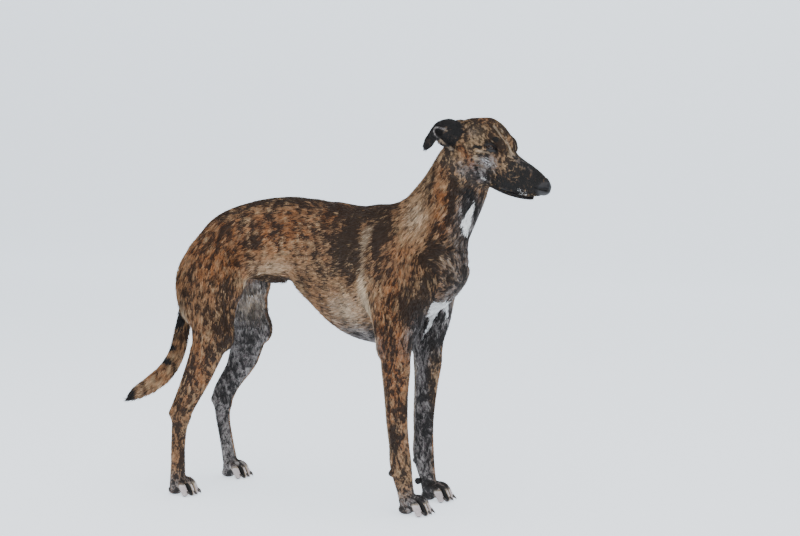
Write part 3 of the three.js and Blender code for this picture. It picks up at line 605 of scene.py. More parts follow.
def slope(field, p, step=0.4):
    d = measured(field, p)
    g = np.stack([measured(field, p + np.eye(3)[k] * step) - d for k in range(3)], axis=1) / step
    return d, g


def settled(field, p, limit, least_steep=0.25):
    """The points moved on to the skin, by no more than the limit times the slope."""
    d, g = slope(field, p)
    steep = np.maximum((g**2).sum(axis=1), least_steep)
    move = np.clip(-d / steep, -limit, limit)
    return p + g * move[:, None]


def joined_corners(corners, farthest):
    """A name for each corner of a cell, shared by those that join one another."""
    names = [-1] * 8
    for first in corners:
        queue = [first] if names[first] < 0 else []
        while queue:
            corner = queue.pop()
            names[corner] = first
            queue += [c for c in corners if names[c] < 0 and bin(c ^ corner).count("1") <= farthest]
    return names


def sheet_table():
    """For each pattern of inside corners, the sheet of skin that crosses each edge."""
    slot = np.zeros((256, 8, 3), int)
    count = np.zeros(256, int)
    for mask in range(256):
        within = joined_corners([c for c in range(8) if mask >> c & 1], 1)
        without = joined_corners([c for c in range(8) if not mask >> c & 1], 2)
        names = []
        for corner in range(8):
            for axis in range(3):
                other = corner | 1 << axis
                if other == corner or (within[corner] < 0) == (within[other] < 0):
                    continue
                name = (max(within[corner], within[other]), max(without[corner], without[other]))
                if name not in names:
                    names.append(name)
                slot[mask, corner, axis] = names.index(name)
        count[mask] = len(names)
    return slot, count


SHEET, SHEETS = sheet_table()


def surface_of(field, low, high, cell, room=40):
    """A closed sheet of four-sided faces where the field is nought, followed from cell to cell."""
    cells = cells_near(field, low, high, cell)
    span = cells.max(axis=0) + room
    key = lambda c: (c[..., 2] * span[1] + c[..., 1]) * span[0] + c[..., 0]
    place_of = lambda k: np.stack([k % span[0], k // span[0] % span[1], k // (span[0] * span[1])], axis=-1)
    seen, known, value = np.empty(0, int), np.empty(0, int), np.empty(0)
    missing = np.unique(key(cells))
    found_cells, found_values = [], []
    while missing.size:
        fresh_cells = place_of(missing)
        corner_keys = key(fresh_cells[:, None, :] + OCTANT)
        fresh = np.setdiff1d(np.unique(corner_keys), known, assume_unique=True)
        spot_at = np.searchsorted(known, fresh)
        known = np.insert(known, spot_at, fresh)
        value = np.insert(value, spot_at, measured(field, off_lattice(low + place_of(fresh) * cell)))
        v = value[np.searchsorted(known, corner_keys)]
        inside = v < 0
        crossed = inside.any(axis=1) & ~inside.all(axis=1)
        seen = np.union1d(seen, missing)
        fresh_cells, v, inside = fresh_cells[crossed], v[crossed], inside[crossed]
        found_cells.append(fresh_cells)
        found_values.append(v)
        wanted = []
        for axis in range(3):
            for step in (-1, 1):
                face = inside[:, OCTANT[:, axis] == (step > 0)]
                beyond = fresh_cells[face.any(axis=1) & ~face.all(axis=1)]
                wanted.append(key(beyond + np.eye(3, dtype=int)[axis] * step))
        missing = np.setdiff1d(np.concatenate(wanted), seen)
    cells, v = np.concatenate(found_cells), np.concatenate(found_values)
    order = np.argsort(key(cells))
    cells, v = cells[order], v[order]
    names, within = key(cells), v < 0
    mask = within @ (1 << np.arange(8))
    start = np.concatenate([[0], np.cumsum(SHEETS[mask])])
    total = np.zeros((start[-1], 3))
    number = np.zeros(start[-1])
    for a in range(8):
        for axis in range(3):
            b = a | 1 << axis
            if b == a:
                continue
            cut = np.flatnonzero(within[:, a] != within[:, b])
            crossing = OCTANT[a] + cells[cut].astype(float)
            crossing[:, axis] += v[cut, a] / (v[cut, a] - v[cut, b])
            point = start[cut] + SHEET[mask[cut], a, axis]
            np.add.at(total, point, crossing)
            np.add.at(number, point, 1)
    points = off_lattice(low + total / number[:, None] * cell)
    quads = []
    for axis in range(3):
        p, q = (axis + 1) % 3, (axis + 2) % 3
        cut = np.flatnonzero(within[:, 0] != within[:, 1 << axis])
        around = []
        for dp, dq in ((1, 1), (0, 1), (0, 0), (1, 0)):
            neighbour = cells[cut].copy()
            neighbour[:, p] -= dp
            neighbour[:, q] -= dq
            found = np.searchsorted(names, key(neighbour))
            around.append(start[found] + SHEET[mask[found], dp << p | dq << q, axis])
        quad = np.stack(around, axis=1)
        flip = ~within[cut, 0]
        quad[flip] = quad[flip][:, ::-1]
        quads.append(quad)
    return points, np.concatenate(quads)


def mesh_object(name, points, faces):
    mesh = bpy.data.meshes.new(name)
    rounds = [[v for v in face if v >= 0] for face in faces.tolist()]
    mesh.from_pydata(((points + FLOOR_SHIFT) / 1000).tolist(), [], rounds)
    mesh.validate()
    mesh.shade_smooth()
    thing = bpy.data.objects.new(name, mesh)
    bpy.context.scene.collection.objects.link(thing)
    return thing


def read_vectors(items, key):
    flat = np.empty(len(items) * 3, np.float32)
    items.foreach_get(key, flat)
    return flat.reshape(-1, 3)


def in_millimetres(places):
    return places.astype(float) * 1000 - FLOOR_SHIFT


def places_of(mesh):
    return in_millimetres(read_vectors(mesh.vertices, "co"))


def put_places(mesh, p):
    mesh.vertices.foreach_set("co", ((p + FLOOR_SHIFT) / 1000).astype(np.float32).ravel())
    mesh.update()


def applied(thing):
    """The object's modifiers baked into its mesh."""
    bpy.context.view_layer.update()
    shaped = thing.evaluated_get(bpy.context.evaluated_depsgraph_get())
    made = bpy.data.meshes.new_from_object(shaped)
    thing.modifiers.clear()
    old = thing.data
    thing.data = made
    bpy.data.meshes.remove(old)
    made.name = thing.name
    return thing


SKIN_TRIANGLES = 150000
LOW_CORNER = np.array([-900.0, -180, -40])
HIGH_CORNER = np.array([360.0, 180, 960])
points, quads = surface_of(flesh, LOW_CORNER, HIGH_CORNER, CELL)
points = settled(flesh, points, CELL / 2)
skin = mesh_object("skin", points, quads)
thin = skin.modifiers.new("fewer faces", "DECIMATE")
thin.ratio = SKIN_TRIANGLES / (2 * len(quads))
thin.use_collapse_triangulate = True
applied(skin)
put_places(skin.data, settled(flesh, places_of(skin.data), 0.8))

# Lie of the hair, its length and the broad fields of colour, worked out at each point of the
# skin. Hair runs from the nose back over the head, down the neck and the legs, back along
# the trunk and out to the tips of the ears and the tail.
def lie_of(p):
    fore = one_sided(p, fore_lead)
    hind = one_sided(p, hind_lead)
    head = in_half_head(p)
    total = np.zeros_like(p)
    flows = [(form, p, -1, "body") for form in (trunk, neck)] + [(tail, p, 1, "body")]
    flows += [(skull, head, -1, "head"), (jaw, head, -1, "head"), (ear_leather, head, 1.5, "head")]
    flows += [(form, fore, 1, "side") for form in (shoulder_blade, upper_arm, triceps, forearm)]
    flows += [(form, hind, 1, "side") for form in (thigh, heel_tendon, shank, flank)]
    for form, q, strength, kind in flows:
        weight = np.exp(-np.clip(form(q), -14, 60) / 10)
        way = form.heading(q) * strength
        if kind == "head":
            way[:, 1] *= np.sign(in_head(p)[:, 1])
            way = way @ HEAD_AXES
        if kind == "side":
            way[:, 1] *= np.sign(p[:, 1])
        total += way * weight[:, None]
    flat = 1 - eased(p[:, 2], 8, 45)
    total += np.array([1.0, 0, -0.35]) * (flat * 6)[:, None]
    total /= np.linalg.norm(total, axis=1, keepdims=True) + 1e-9
    flanks = eased(np.abs(p[:, 1]), 20, 70) * eased(p[:, 2], 330, 420) * (1 - eased(p[:, 0], 20, 80))
    total[:, 2] -= 0.45 * flanks
    wave = np.sin(p @ np.array([0.031, 0.017, 0.023])) * np.cos(p @ np.array([-0.019, 0.013, 0.041]))
    total += np.cross(total, np.array([0.3, 1.0, 0.2])) * (0.16 * wave)[:, None]
    return total / (np.linalg.norm(total, axis=1, keepdims=True) + 1e-9)


PAIRED_PARTS = ["shoulder", "ribs", "loin", "thigh", "foreleg", "hindleg"]
PARTS = ["head_left", "head_right", "neck"]
PARTS += [f"{name}_{side}" for name in PAIRED_PARTS for side in ("left", "right")] + ["tail"]
LEG_TOP = 385
LOIN_FRONT = -225


def part_of(p):
    """The number in PARTS of the part that each point lies on."""
    fore = one_sided(p, fore_lead)
    hind = one_sided(p, hind_lead)
    head = np.minimum(head_flesh(p), ear_flesh(p))
    fore_d = np.minimum(foreleg_flesh(fore), fore_paw(fore))
    hind_d = np.minimum(hindleg_flesh(hind), hind_paw(hind))
    which = np.stack([head, neck(p), fore_d, trunk(p), hind_d, tail(p)]).argmin(axis=0)
    on_head, on_neck, on_fore, _, on_hind, on_tail = (which == i for i in range(6))
    right = (p[:, 1] < 0).astype(int)
    low = p[:, 2] < LEG_TOP
    choices = [
        (on_head, PARTS.index("head_left") + right),
        (on_neck, PARTS.index("neck")),
        (on_tail, PARTS.index("tail")),
        (on_fore & low, PARTS.index("foreleg_left") + right),
        (on_fore, PARTS.index("shoulder_left") + right),
        (on_hind & low, PARTS.index("hindleg_left") + right),
        (on_hind, PARTS.index("thigh_left") + right),
        (p[:, 0] > LOIN_FRONT, PARTS.index("ribs_left") + right),
    ]
    return np.select(*zip(*choices), PARTS.index("loin_left") + right)


def near_to(p, centre, radii):
    """One at the centre of a soft round zone, falling away to nothing past its radii."""
    off = (p - np.asarray(centre, float)) / np.asarray(radii, float)
    return np.exp(-(off**2).sum(axis=1))


def spot(p, centre, radii):
    """A firm spot: one inside, a half on its rim, nothing well outside."""
    off = (p - np.asarray(centre, float)) / np.asarray(radii, float)
    return np.clip(1.5 - np.linalg.norm(off, axis=1), 0, 1)


def stroke(p, path, width):
    """A soft line of the given width along a path of points."""
    path = np.asarray(path, float)
    gap = np.full(len(p), 1e9)
    for a, b in zip(path[:-1], path[1:]):
        run = b - a
        t = np.clip((p - a) @ run / (run @ run), 0, 1)
        gap = np.minimum(gap, np.linalg.norm(p - a - t[:, None] * run, axis=1))
    return 1 - eased(gap, width * 0.35, width * 0.75)


# The way across as the photo's view has it, 24.4 degrees round from the length of the dog
ACROSS_X, ACROSS_Y = 0.911, 0.413


def three_cornered(p, corners, soft):
    """A mark with three corners, each given across the front right of the dog and up."""
    across = p[:, 0] * ACROSS_X + p[:, 1] * ACROSS_Y
    inner = np.full(len(p), 1e9)
    for (a0, z0), (a1, z1) in zip(corners, corners[1:] + corners[:1]):
        long = math.hypot(a1 - a0, z1 - z0)
        inner = np.minimum(inner, ((a1 - a0) * (p[:, 2] - z0) - (z1 - z0) * (across - a0)) / long)
    return eased(inner, -soft, soft)


def with_soft(field, marks):
    """The field with soft round zones added; each has a strength, places, a centre and radii."""
    for strength, q, centre, radii in marks:
        field = field + strength * near_to(q, centre, radii)
    return field


def with_firm(field, marks):
    """The field raised to firm spots; each has a strength, places, a centre and radii."""
    for strength, q, centre, radii in marks:
        field = np.maximum(field, strength * spot(q, centre, radii))
    return field


# Where the grooves between the outer toes and the inner ones lie, from the middle of a paw
TOE_GROOVE = 16.5


def zones(p, normal):
    """Broad fields of the coat's colour, 1 at most, with painted shade and painted sheen among them, and the
    length of its hair in millimetres.
    """
    x, y, z = p.T
    side = p.copy()
    side[:, 1] = -np.abs(y)
    face = in_half_head(p)
    # Ahead, aside and up in the head's own frame
    u, w, v = face.T
    fore = one_sided(p, fore_lead)
    hind = one_sided(p, hind_lead)
    nothing = np.zeros(len(p))
    on_head = eased(u, -30, 20) * eased(v, -80, -68)
    on_ear = np.where((u < 31) & (w > 40.5) & (ear_flesh(p) < 2.2), 1.0, 0.0)
    leg_zone = 1 - eased(z, 330, 430)
    inward = np.clip(-normal[:, 1] * np.sign(y), 0, 1)
    inner_leg = eased(inward, 0.05, 0.5) * (1 - eased(z, 500, 570)) * eased(np.abs(y), 16, 40)
    inner_hind = inner_leg * eased(-x, 300, 360)
    inner_fore = inner_leg - inner_hind
    under = eased(-normal[:, 2], 0.2, 0.8)

    rust = with_soft(0.30 + nothing, [
        (0.75, side, [-330, -60, 650], [90, 90, 50]),
        (0.75, side, [-520, -80, 600], [100, 90, 100]),
        (0.45, side, [-40, -90, 560], [50, 60, 100]),
        (0.8, side, [-50, -90, 400], [40, 60, 90]),
        (0.4, side, [-45, -90, 250], [60, 60, 110]),
        (0.9, side, [62, -50, 725], [20, 60, 80]),
        (0.5, side, [-560, -110, 330], [70, 60, 120]),
        (0.3, side, [-740, 0, 270], [90, 60, 60]),
        (0.7, side, [-205, -60, 690], [36, 60, 30]),
    ])
    rust *= 1 - 0.7 * inner_leg
    jaw_edge = [[44, 50, -14], [60, 50, -18], [78, 46, -22], [90, 40, -36], [97, 32, -45]]
    rust += 0.9 * stroke(face, jaw_edge, 17)
    rust += 0.7 * near_to(face, [48, 12, 64], [34, 30, 14])
    rust -= (0.25 + 0.3 * eased(u, 112, 140)) * on_head
    rust += 0.4 * eased(x, 2, 14) * leg_zone * (y > 0)

    grey = with_soft(nothing, [
        (0.95, side, [-130, -30, 385], [110, 90, 46]),
        (0.35, side, [-190, -80, 470], [80, 90, 50]),
        (0.9, side, [122, -20, 700], [34, 50, 70]),
        (0.85, p, [60, 0, 560], [60, 60, 120]),
        (0.85, side, [14, -70, 440], [34, 34, 66]),
        (0.3, side, [-40, -80, 170], [60, 60, 70]),
    ])
    grey += 0.95 * inner_hind
    grey += 0.9 * inner_fore * (1 - 0.75 * eased(x, -34, -6))
    grey += 0.55 * eased(x, -10, 30) * leg_zone * (y < 0)
    grey += 0.6 * (1 - eased(z, 20, 100))
    cheek_patch = near_to(face, [116, 38, -16], [32, 24, 32]) * on_head
    grey += 0.8 * cheek_patch
    # Painted sheen: the first zone greys the top of the muzzle's bridge where light glances off it; the
    # other three are the head's own grey.
    grey += on_head * with_soft(nothing, [
        (0.75, face, [188, 8, 26], [50, 16, 14]),
        (0.45, face, [64, 38, -56], [30, 30, 28]),
        (0.4, face, [40, 38, 30], [30, 20, 24]),
        (0.7, face, [118, 24, -50], [26, 20, 14]),
    ])

    dark = with_soft(nothing, [
        (0.34, side, [-160, -80, 640], [36, 80, 60]),
        (0.20, side, [-178, -80, 590], [40, 80, 50]),
        (0.46, side, [-78, -70, 660], [20, 60, 44]),
        (0.30, side, [-84, -70, 600], [10, 60, 40]),
        (0.36, side, [-10, -90, 480], [26, 60, 30]),
        (0.14, side, [-470, -90, 620], [60, 70, 60]),
        (0.32, p, [40, -46, 560], [14, 60, 80]),
        (0.10, p, [60, 0, 560], [60, 60, 110]),
        (0.30, side, [104, -30, 740], [28, 50, 50]),
        (0.16, side, [20, -70, 420], [22, 40, 60]),
        (0.18, side, [-470, -110, 410], [36, 60, 60]),
        (0.12, side, [-600, -110, 300], [40, 60, 90]),
        # Painted shade: more dark streaks under the tuck of the belly, only where the skin faces down.
        (0.5 * under, p, [-372, 0, 520], [50, 34, 24]),
        (0.14, side, [-40, -80, 190], [60, 60, 60]),
        (-0.16, side, [-190, -80, 470], [80, 80, 60]),
        (-0.13, side, [5, -55, 690], [40, 60, 60]),
        (-0.20, side, [-360, -70, 570], [80, 60, 34]),
        (-0.18, side, [-740, 0, 260], [90, 60, 60]),
        (-0.20 * on_head, face, [66, 44, -42], [36, 26, 40]),
        (0.26 * on_head, face, [122, 30, 27], [14, 16, 12]),
        (0.20 * on_head, face, [76, 50, -1], [12, 14, 8]),
    ])
    dark += 0.22 * eased(normal[:, 2], 0.5, 0.95) * eased(z, 600, 690) * (1 - on_head)
    dark += 0.22 * stroke(side, [[84, -50, 790], [78, -50, 750], [84, -46, 700]], 9)
    dark += 0.07 * (1 - eased(z, 30, 110))
    dark -= 0.06 * inner_hind
    dark += (0.11 - 0.20 * cheek_patch) * on_head

    behind_shoulder = [
        [-106, -80, 664], [-118, -80, 600], [-122, -80, 530], [-112, -84, 450], [-96, -84, 390],
    ]
    triceps_strip = stroke(side, behind_shoulder, 20)
    pale = with_soft(0.55 * triceps_strip, [
        (0.8, hind, [-606, 96, 425], [13, 60, 50]),
        (0.5, side, [2, -60, 692], [36, 60, 50]),
        (0.5, side, [-170, -80, 460], [80, 80, 60]),
        (0.5, side, [-370, -70, 556], [80, 60, 26]),
        (0.5 * inner_hind, p, [-500, 60, 470], [60, 80, 70]),
        (0.9 * on_head, face, [90, 44, -13], [8, 14, 6]),
        (0.4 * on_head, face, [56, 36, 30], [26, 20, 20]),
        (0.25, side, [-780, 0, 235], [60, 60, 30]),
    ])
    pale += 0.6 * stroke(p, [[74, 30, 640], [70, 24, 600], [66, 30, 560], [60, 36, 520]], 12)
    pale += 0.8 * stroke(side, [[-440, -62, 520], [-400, -58, 536], [-360, -50, 534]], 20)
    for strength, path, width in [
        (0.8, [[79, 18, 63], [98, 21, 58], [114, 22, 51], [134, 15, 40], [152, 9, 31]], 5),
        (0.8, [[96, 12, 64], [118, 12, 53], [150, 15, 27]], 4.5),
        (0.7, [[84, 49, 2], [92, 48, 4], [104, 42, 9], [112, 38, 10]], 5),
        (0.8, [[96, 30, 48], [106, 36, 38], [92, 42, 32], [80, 42, 24]], 4),
    ]:
        pale += on_head * strength * stroke(face, path, width)
    pale += 0.5 * eased(-normal[:, 0], 0.2, 0.8) * leg_zone * eased(z, 90, 140) * (x > -200)

    throat = three_cornered(p, [(112, 729), (74, 671), (96, 645)], 2.5) * (x > 60)
    chest = three_cornered(p, [(10, 492), (9, 418), (45, 489)], 2.5)
    chest = np.maximum(chest, three_cornered(p, [(37, 491), (54, 436), (53, 490)], 2.5))
    chest = np.maximum(chest, three_cornered(p, [(9, 440), (-12, 386), (15, 438)], 2.0))
    white = np.maximum(throat, chest * (x > -70) * (y > -75) * (y < 80))
    white = with_firm(white, [
        (0.40 * on_head, face, [217, 20, -27], [24, 12, 9]),
        (0.40 * on_head, face, [122, 26, -50], [15, 14, 7]),
    ])
    white = np.maximum(white, 0.36 * cheek_patch)
    white = np.maximum(white, 0.36 * inner_hind * near_to(p, [-490, 60, 490], [60, 80, 60]))
    fore_half = x > -250
    paw_x = np.where(fore_half, fore[:, 0] - FORE_PAW_X, hind[:, 0] - HIND_PAW_X)
    aside = np.abs(np.where(fore_half, fore[:, 1] - FORE_OUT, hind[:, 1] - HIND_OUT))
    groove = np.minimum(aside, np.abs(aside - TOE_GROOVE))
    toes = (1 - eased(z, 22, 40)) * eased(paw_x, 10, 24)
    pale += 0.9 * toes
    white = np.maximum(white, 0.72 * toes * eased(groove, 2.5, 5))

    ear_rim_line = (1 - eased(ear_rim(face), -0.6, 1.2)) * on_ear
    rim_front = eased(u, -14, -2)
    inner_flap = near_to(face, [-32, 62, -42], [10, 8, 18]) * on_ear
    tuft_below = spot(face, [-9, 57, -29], [7, 7, 4.5])
    # The ear is near black. The first zone taken out of it is a painted sheen, grey on the front of the
    # ear's fold. The second is grey mottling of its own.
    black = on_ear * with_soft(0.86 + nothing, [
        (-0.40, face, [-4, 60, 4], [14, 12, 12]),
        (-0.38, face, [16, 50, -4], [12, 12, 14]),
    ])
    black = black * (1 - 0.55 * inner_flap) * (1 - 0.62 * ear_rim_line)
    # Painted shade: black filling the hollow of the ear's cup.
    black = np.maximum(black, near_to(face, [-20, 58, -11], [9, 8, 7]) * on_ear)
    black = black * (1 - tuft_below)
    dark += 0.4 * inner_flap
    rust += 0.5 * inner_flap
    pale += 0.5 * tuft_below + 0.6 * ear_rim_line * rim_front
    grey += 0.9 * ear_rim_line * (1 - rim_front) + 0.5 * on_ear

    muzzle = 0.86 * eased(u, 134, 168) + 0.14 * eased(u, 176, 206)
    # Painted sheen: the muzzle is a little less black along its top.
    muzzle *= 1 - 0.10 * eased(v, 14, 34)
    muzzle -= 0.42 * spot(face, [217, 20, -27], [24, 12, 9])
    muzzle = with_soft(muzzle, [
        (-0.24, face, [180, 23, 4], [10, 12, 8]),
        (-0.30, face, [150, 22, 15], [12, 14, 10]),
        (-0.10, face, [168, 14, 22], [18, 12, 9]),
    ])
    muzzle = np.maximum(muzzle, 1.1 * eased(u, 132, 152) * (1 - eased(v, -26, -8)))
    black = np.maximum(black, 0.66 * np.clip(muzzle, 0, 1) * on_head)
    black = with_firm(black, [
        (on_head, face, [105, 33, 23], [17, 20, 10.5]),
        (on_head, face, [108, 37, 45], [8, 14, 6]),
        (0.9 * on_head, face, [82, 45, -24], [4.5, 20, 4.5]),
        (0.8 * on_head, face, [94, 34, -38], [5, 20, 5]),
        (1.0, p, [-686, 0, 352], [16, 40, 13]),
        (1.0, p, [-700, 0, 310], [17, 40, 12]),
        (0.8, p, [-664, 0, 430], [20, 40, 40]),
        (0.72, p, [122, -34, 742], [14, 20, 16]),
    ])
    eye_corner = stroke(face, [[92, 44, 17], [84, 46, 12], [74, 48, 6]], 7)
    mouth_corner = stroke(face, [[118, 30, -44], [134, 30, -42], [152, 30, -44]], 9)
    black = np.maximum(black, 0.9 * eye_corner * on_head)
    black = np.maximum(black, 0.8 * mouth_corner * on_head)
    black = np.maximum(black, 0.7 * eased(-x, 770, 815))
    black = np.maximum(black, 0.85 * near_to(p, [48, -46, 536], [8, 40, 40]))
    # Painted shade: black in the grooves between the toes.
    toe_groove_shade = (1 - eased(groove, 1.5, 4.5)) * (1 - eased(z, 26, 44)) * eased(paw_x, 8, 20)
    black = np.maximum(black, 0.85 * toe_groove_shade)
    black = np.maximum(black, 1 - eased(np.linalg.norm(fore - DEWCLAW_PLACE, axis=1), 9, 12))
    black = np.maximum(black, 0.9 * stroke(p, [[30, -52, 452], [22, -60, 430], [16, -64, 400]], 16))

    bare = with_firm(nothing, [
        (1.0, face, [256, 0, 3], [17, 24, 18]),
        (1.0, face, [105, 38, 21], [14, 14, 7.5]),
    ])
    lips = [
        [158, 29, -49], [177, 25.5, -47], [198, 21, -41], [214, 17, -38], [230, 12, -32.5], [244, 4, -23],
    ]
    bare = np.maximum(bare, stroke(face, lips, 6.5) * eased(u, 130, 150))
    bare = np.maximum(bare, eased(-z, -5, -2) * (np.abs(y) > 30))
    carpal_pad_face = [-54, FORE_OUT + 4, 92]
    bare = np.maximum(bare, 1 - eased(np.linalg.norm(fore - carpal_pad_face, axis=1), 7, 9))

    length = 10.0 + nothing
    length += 5 * near_to(side, [2, -60, 688], [50, 70, 70])
    length += 5 * triceps_strip
    length += 8 * eased(-hind[:, 0], 578, 606) * eased(z, 330, 400) * (1 - eased(z, 520, 600))
    length += 5 * under * eased(z, 360, 420) * (np.abs(y) < 60)
    length += 6 * stroke(side, [[-440, -62, 520], [-400, -58, 532], [-350, -40, 528]], 22)
    length -= 4.5 * leg_zone
    length -= 3.0 * (1 - eased(z, 30, 120))
    length -= 6.0 * np.maximum(on_head, on_ear)
    length -= 1.6 * eased(u, 110, 180) * on_head
    length -= 0.8 * on_ear
    tail_zone = eased(-x, 640, 660) * (1 - eased(z, 480, 560))
    length += 5 * tail_zone + 8 * tail_zone * under
    length = np.clip(length, 2.2, 22) * (1 - 0.6 * (bare > 0.3))
    fields = dict(rust=rust, grey=grey, dark=dark, pale=pale, white=white, black=black, bare=bare)
    return {name: np.clip(value, -1, 1) for name, value in fields.items()}, length


def write_field(mesh, name, values):
    kind = "FLOAT_VECTOR" if values.ndim == 2 else "FLOAT"
    layer = mesh.attributes.new(name, kind, "POINT")
    layer.data.foreach_set("vector" if values.ndim == 2 else "value", values.astype(np.float32).ravel())


skin_normals = read_vectors(skin.data.vertex_normals, "vector")
skin_places = places_of(skin.data)
colour_fields, hair_length = zones(skin_places, skin_normals)
for name, values in colour_fields.items():
    write_field(skin.data, name, values)
write_field(skin.data, "lie", lie_of(skin_places))
write_field(skin.data, "hair", hair_length / 1000)
write_field(skin.data, "root", (skin_places + FLOOR_SHIFT) / 1000)
skin_part = part_of(skin_places)

# Brindle pattern, used by the skin and by every tuft of the coat: dark streaks and blotches
# broken over tan, rust and grey ground hair, with the pale and white marks laid over them.
def new_group(name, inputs, outputs):
    tree = bpy.data.node_groups.new(name, "ShaderNodeTree")
    for title, kind, value in inputs:
        socket = tree.interface.new_socket(title, in_out="INPUT", socket_type=kind)
        if value is not None:
            socket.default_value = value
    for title, kind in outputs:
        tree.interface.new_socket(title, in_out="OUTPUT", socket_type=kind)
    return tree, tree.nodes.new("NodeGroupInput"), tree.nodes.new("NodeGroupOutput")


def add_node(tree, kind, inputs=None, **settings):
    node = tree.nodes.new(kind)
    for key, value in settings.items():
        setattr(node, key, value)
    for key, value in (inputs or {}).items():
        socket = node.inputs[key]
        if isinstance(value, bpy.types.NodeSocket):
            tree.links.new(value, socket)
        else:
            socket.default_value = value
    return node


def sum_of(tree, operation, a, b=0.0, c=0.0):
    return add_node(tree, "ShaderNodeMath", {0: a, 1: b, 2: c}, operation=operation).outputs[0]


def ramp_between(tree, value, low, high, kind="SMOOTHSTEP"):
    inputs = {"Value": value, "From Min": low, "From Max": high}
    return add_node(tree, "ShaderNodeMapRange", inputs, interpolation_type=kind).outputs["Result"]


def mix_colours(tree, factor, a, b):
    return add_node(tree, "ShaderNodeMix", {0: factor, 6: a, 7: b}, data_type="RGBA").outputs[2]


def added(tree, a, b):
    return add_node(tree, "ShaderNodeVectorMath", {0: a, 1: b}, operation="ADD").outputs[0]


def scaled(tree, vector, factor):
    return add_node(tree, "ShaderNodeVectorMath", {0: vector, "Scale": factor}, operation="SCALE").outputs[0]


def noise(tree, place, scale, detail=3.0, rough=0.55, bend=0.0):
    inputs = {"Vector": place, "Scale": scale, "Detail": detail, "Roughness": rough, "Distortion": bend}
    return add_node(tree, "ShaderNodeTexNoise", inputs).outputs["Fac"]


def shade(red, green, blue):
    return (red, green, blue, 1.0)


TAN = shade(0.30, 0.172, 0.088)
RUST = shade(0.29, 0.110, 0.037)
GOLD = shade(0.37, 0.25, 0.142)
GREY = shade(0.32, 0.297, 0.286)
LILAC = shade(0.092, 0.073, 0.075)
CREAM = shade(0.50, 0.385, 0.265)
WHITE = shade(0.95, 0.95, 0.94)
PINKISH = shade(0.60, 0.51, 0.50)
DARK_BROWN = shade(0.019, 0.0105, 0.0065)
BLACK = shade(0.0036, 0.0032, 0.0033)
SOOT = shade(0.0150, 0.0130, 0.0130)
BRIGHTNESS = 1.48

# How many of each mark lie in a metre
DRIFTS = 14.0
BROAD_PATCHES = 16.0
BLOTCHES = 34.0
SPECKS = 92.0
STREAKS = 96.0
MOTTLES = 120.0
FLECKS = 190.0
SINGLE_HAIRS = 700.0
# How far the pattern drifts, in metres, and how much taller than wide its streaks are
DRIFT_REACH = 0.05
UPRIGHT = 2.0

FIELD_NAMES = ["Rust", "Grey", "Dark", "Pale", "White", "Black"]
group_inputs = [("Place", "NodeSocketVector", None), ("Tone", "NodeSocketFloat", 0.5)]
group_inputs += [(name, "NodeSocketFloat", 0.0) for name in FIELD_NAMES]
brindle, given, result = new_group("brindle", group_inputs, [("Color", "NodeSocketColor")])
place = given.outputs["Place"]
chance = sum_of(brindle, "SUBTRACT", given.outputs["Tone"], 0.5)
billows = {"Vector": place, "Scale": DRIFTS, "Detail": 2.0}
drift = add_node(brindle, "ShaderNodeTexNoise", billows).outputs["Color"]
drift = scaled(brindle, added(brindle, drift, (-0.5, -0.5, -0.5)), DRIFT_REACH)
warped = added(brindle, place, drift)
stretch = {"Vector": warped, "Scale": (1.0, 1.0, 1 / UPRIGHT)}
upright = add_node(brindle, "ShaderNodeMapping", stretch).outputs[0]
blotch = noise(brindle, upright, BLOTCHES, 3.0, 0.6, 0.4)
streak = noise(brindle, upright, STREAKS, 3.0, 0.62, 0.5)
fleck = noise(brindle, warped, FLECKS, 2.0, 0.6)
hairs = noise(brindle, place, SINGLE_HAIRS, 1.0, 0.5)
broad = noise(brindle, warped, BROAD_PATCHES, 3.0)

# Dark streaks and blotches, then small round specks between them
pattern = sum_of(brindle, "MULTIPLY", blotch, 0.31)
for part, share in ((streak, 0.37), (fleck, 0.32), (given.outputs["Dark"], 0.30), (chance, 0.045)):
    pattern = sum_of(brindle, "MULTIPLY_ADD", part, share, pattern)
streaks = ramp_between(brindle, pattern, 0.476, 0.532)
scatter = {"Vector": upright, "Scale": SPECKS, "Randomness": 1.0}
cells = add_node(brindle, "ShaderNodeTexVoronoi", scatter, feature="F1")
specks = sum_of(brindle, "MULTIPLY_ADD", fleck, 0.45, cells.outputs["Distance"])
specks = sum_of(brindle, "MULTIPLY_ADD", given.outputs["Dark"], -0.25, specks)
specks = sum_of(brindle, "SUBTRACT", 1.0, ramp_between(brindle, specks, 0.42, 0.54))
streaks = sum_of(brindle, "MAXIMUM", streaks, sum_of(brindle, "MULTIPLY", specks, 0.85))

# Ground hair: tan and gold, with rust, grey and cream laid over it where their fields are strong
ground = mix_colours(brindle, ramp_between(brindle, broad, 0.38, 0.62), TAN, GOLD)
rusty = sum_of(brindle, "MULTIPLY", given.outputs["Rust"], ramp_between(brindle, streak, 0.30, 0.60))
rusty = sum_of(brindle, "MULTIPLY", rusty, 1.35)
rusty = add_node(brindle, "ShaderNodeClamp", {"Value": rusty}).outputs[0]
ground = mix_colours(brindle, rusty, ground, RUST)
silver = mix_colours(brindle, ramp_between(brindle, fleck, 0.36, 0.56), LILAC, GREY)
greyness = sum_of(brindle, "SUBTRACT", given.outputs["Grey"], 0.25)
greyness = sum_of(brindle, "MULTIPLY_ADD", fleck, 0.5, greyness)
greyness = sum_of(brindle, "MULTIPLY_ADD", chance, 0.25, greyness)
ground = mix_colours(brindle, ramp_between(brindle, greyness, 0.15, 0.75), ground, silver)
paleness = sum_of(brindle, "SUBTRACT", given.outputs["Pale"], 0.25)
paleness = sum_of(brindle, "MULTIPLY_ADD", streak, 0.5, paleness)
paleness = sum_of(brindle, "MULTIPLY_ADD", chance, 0.3, paleness)
pale_share = ramp_between(brindle, paleness, 0.10, 0.80)
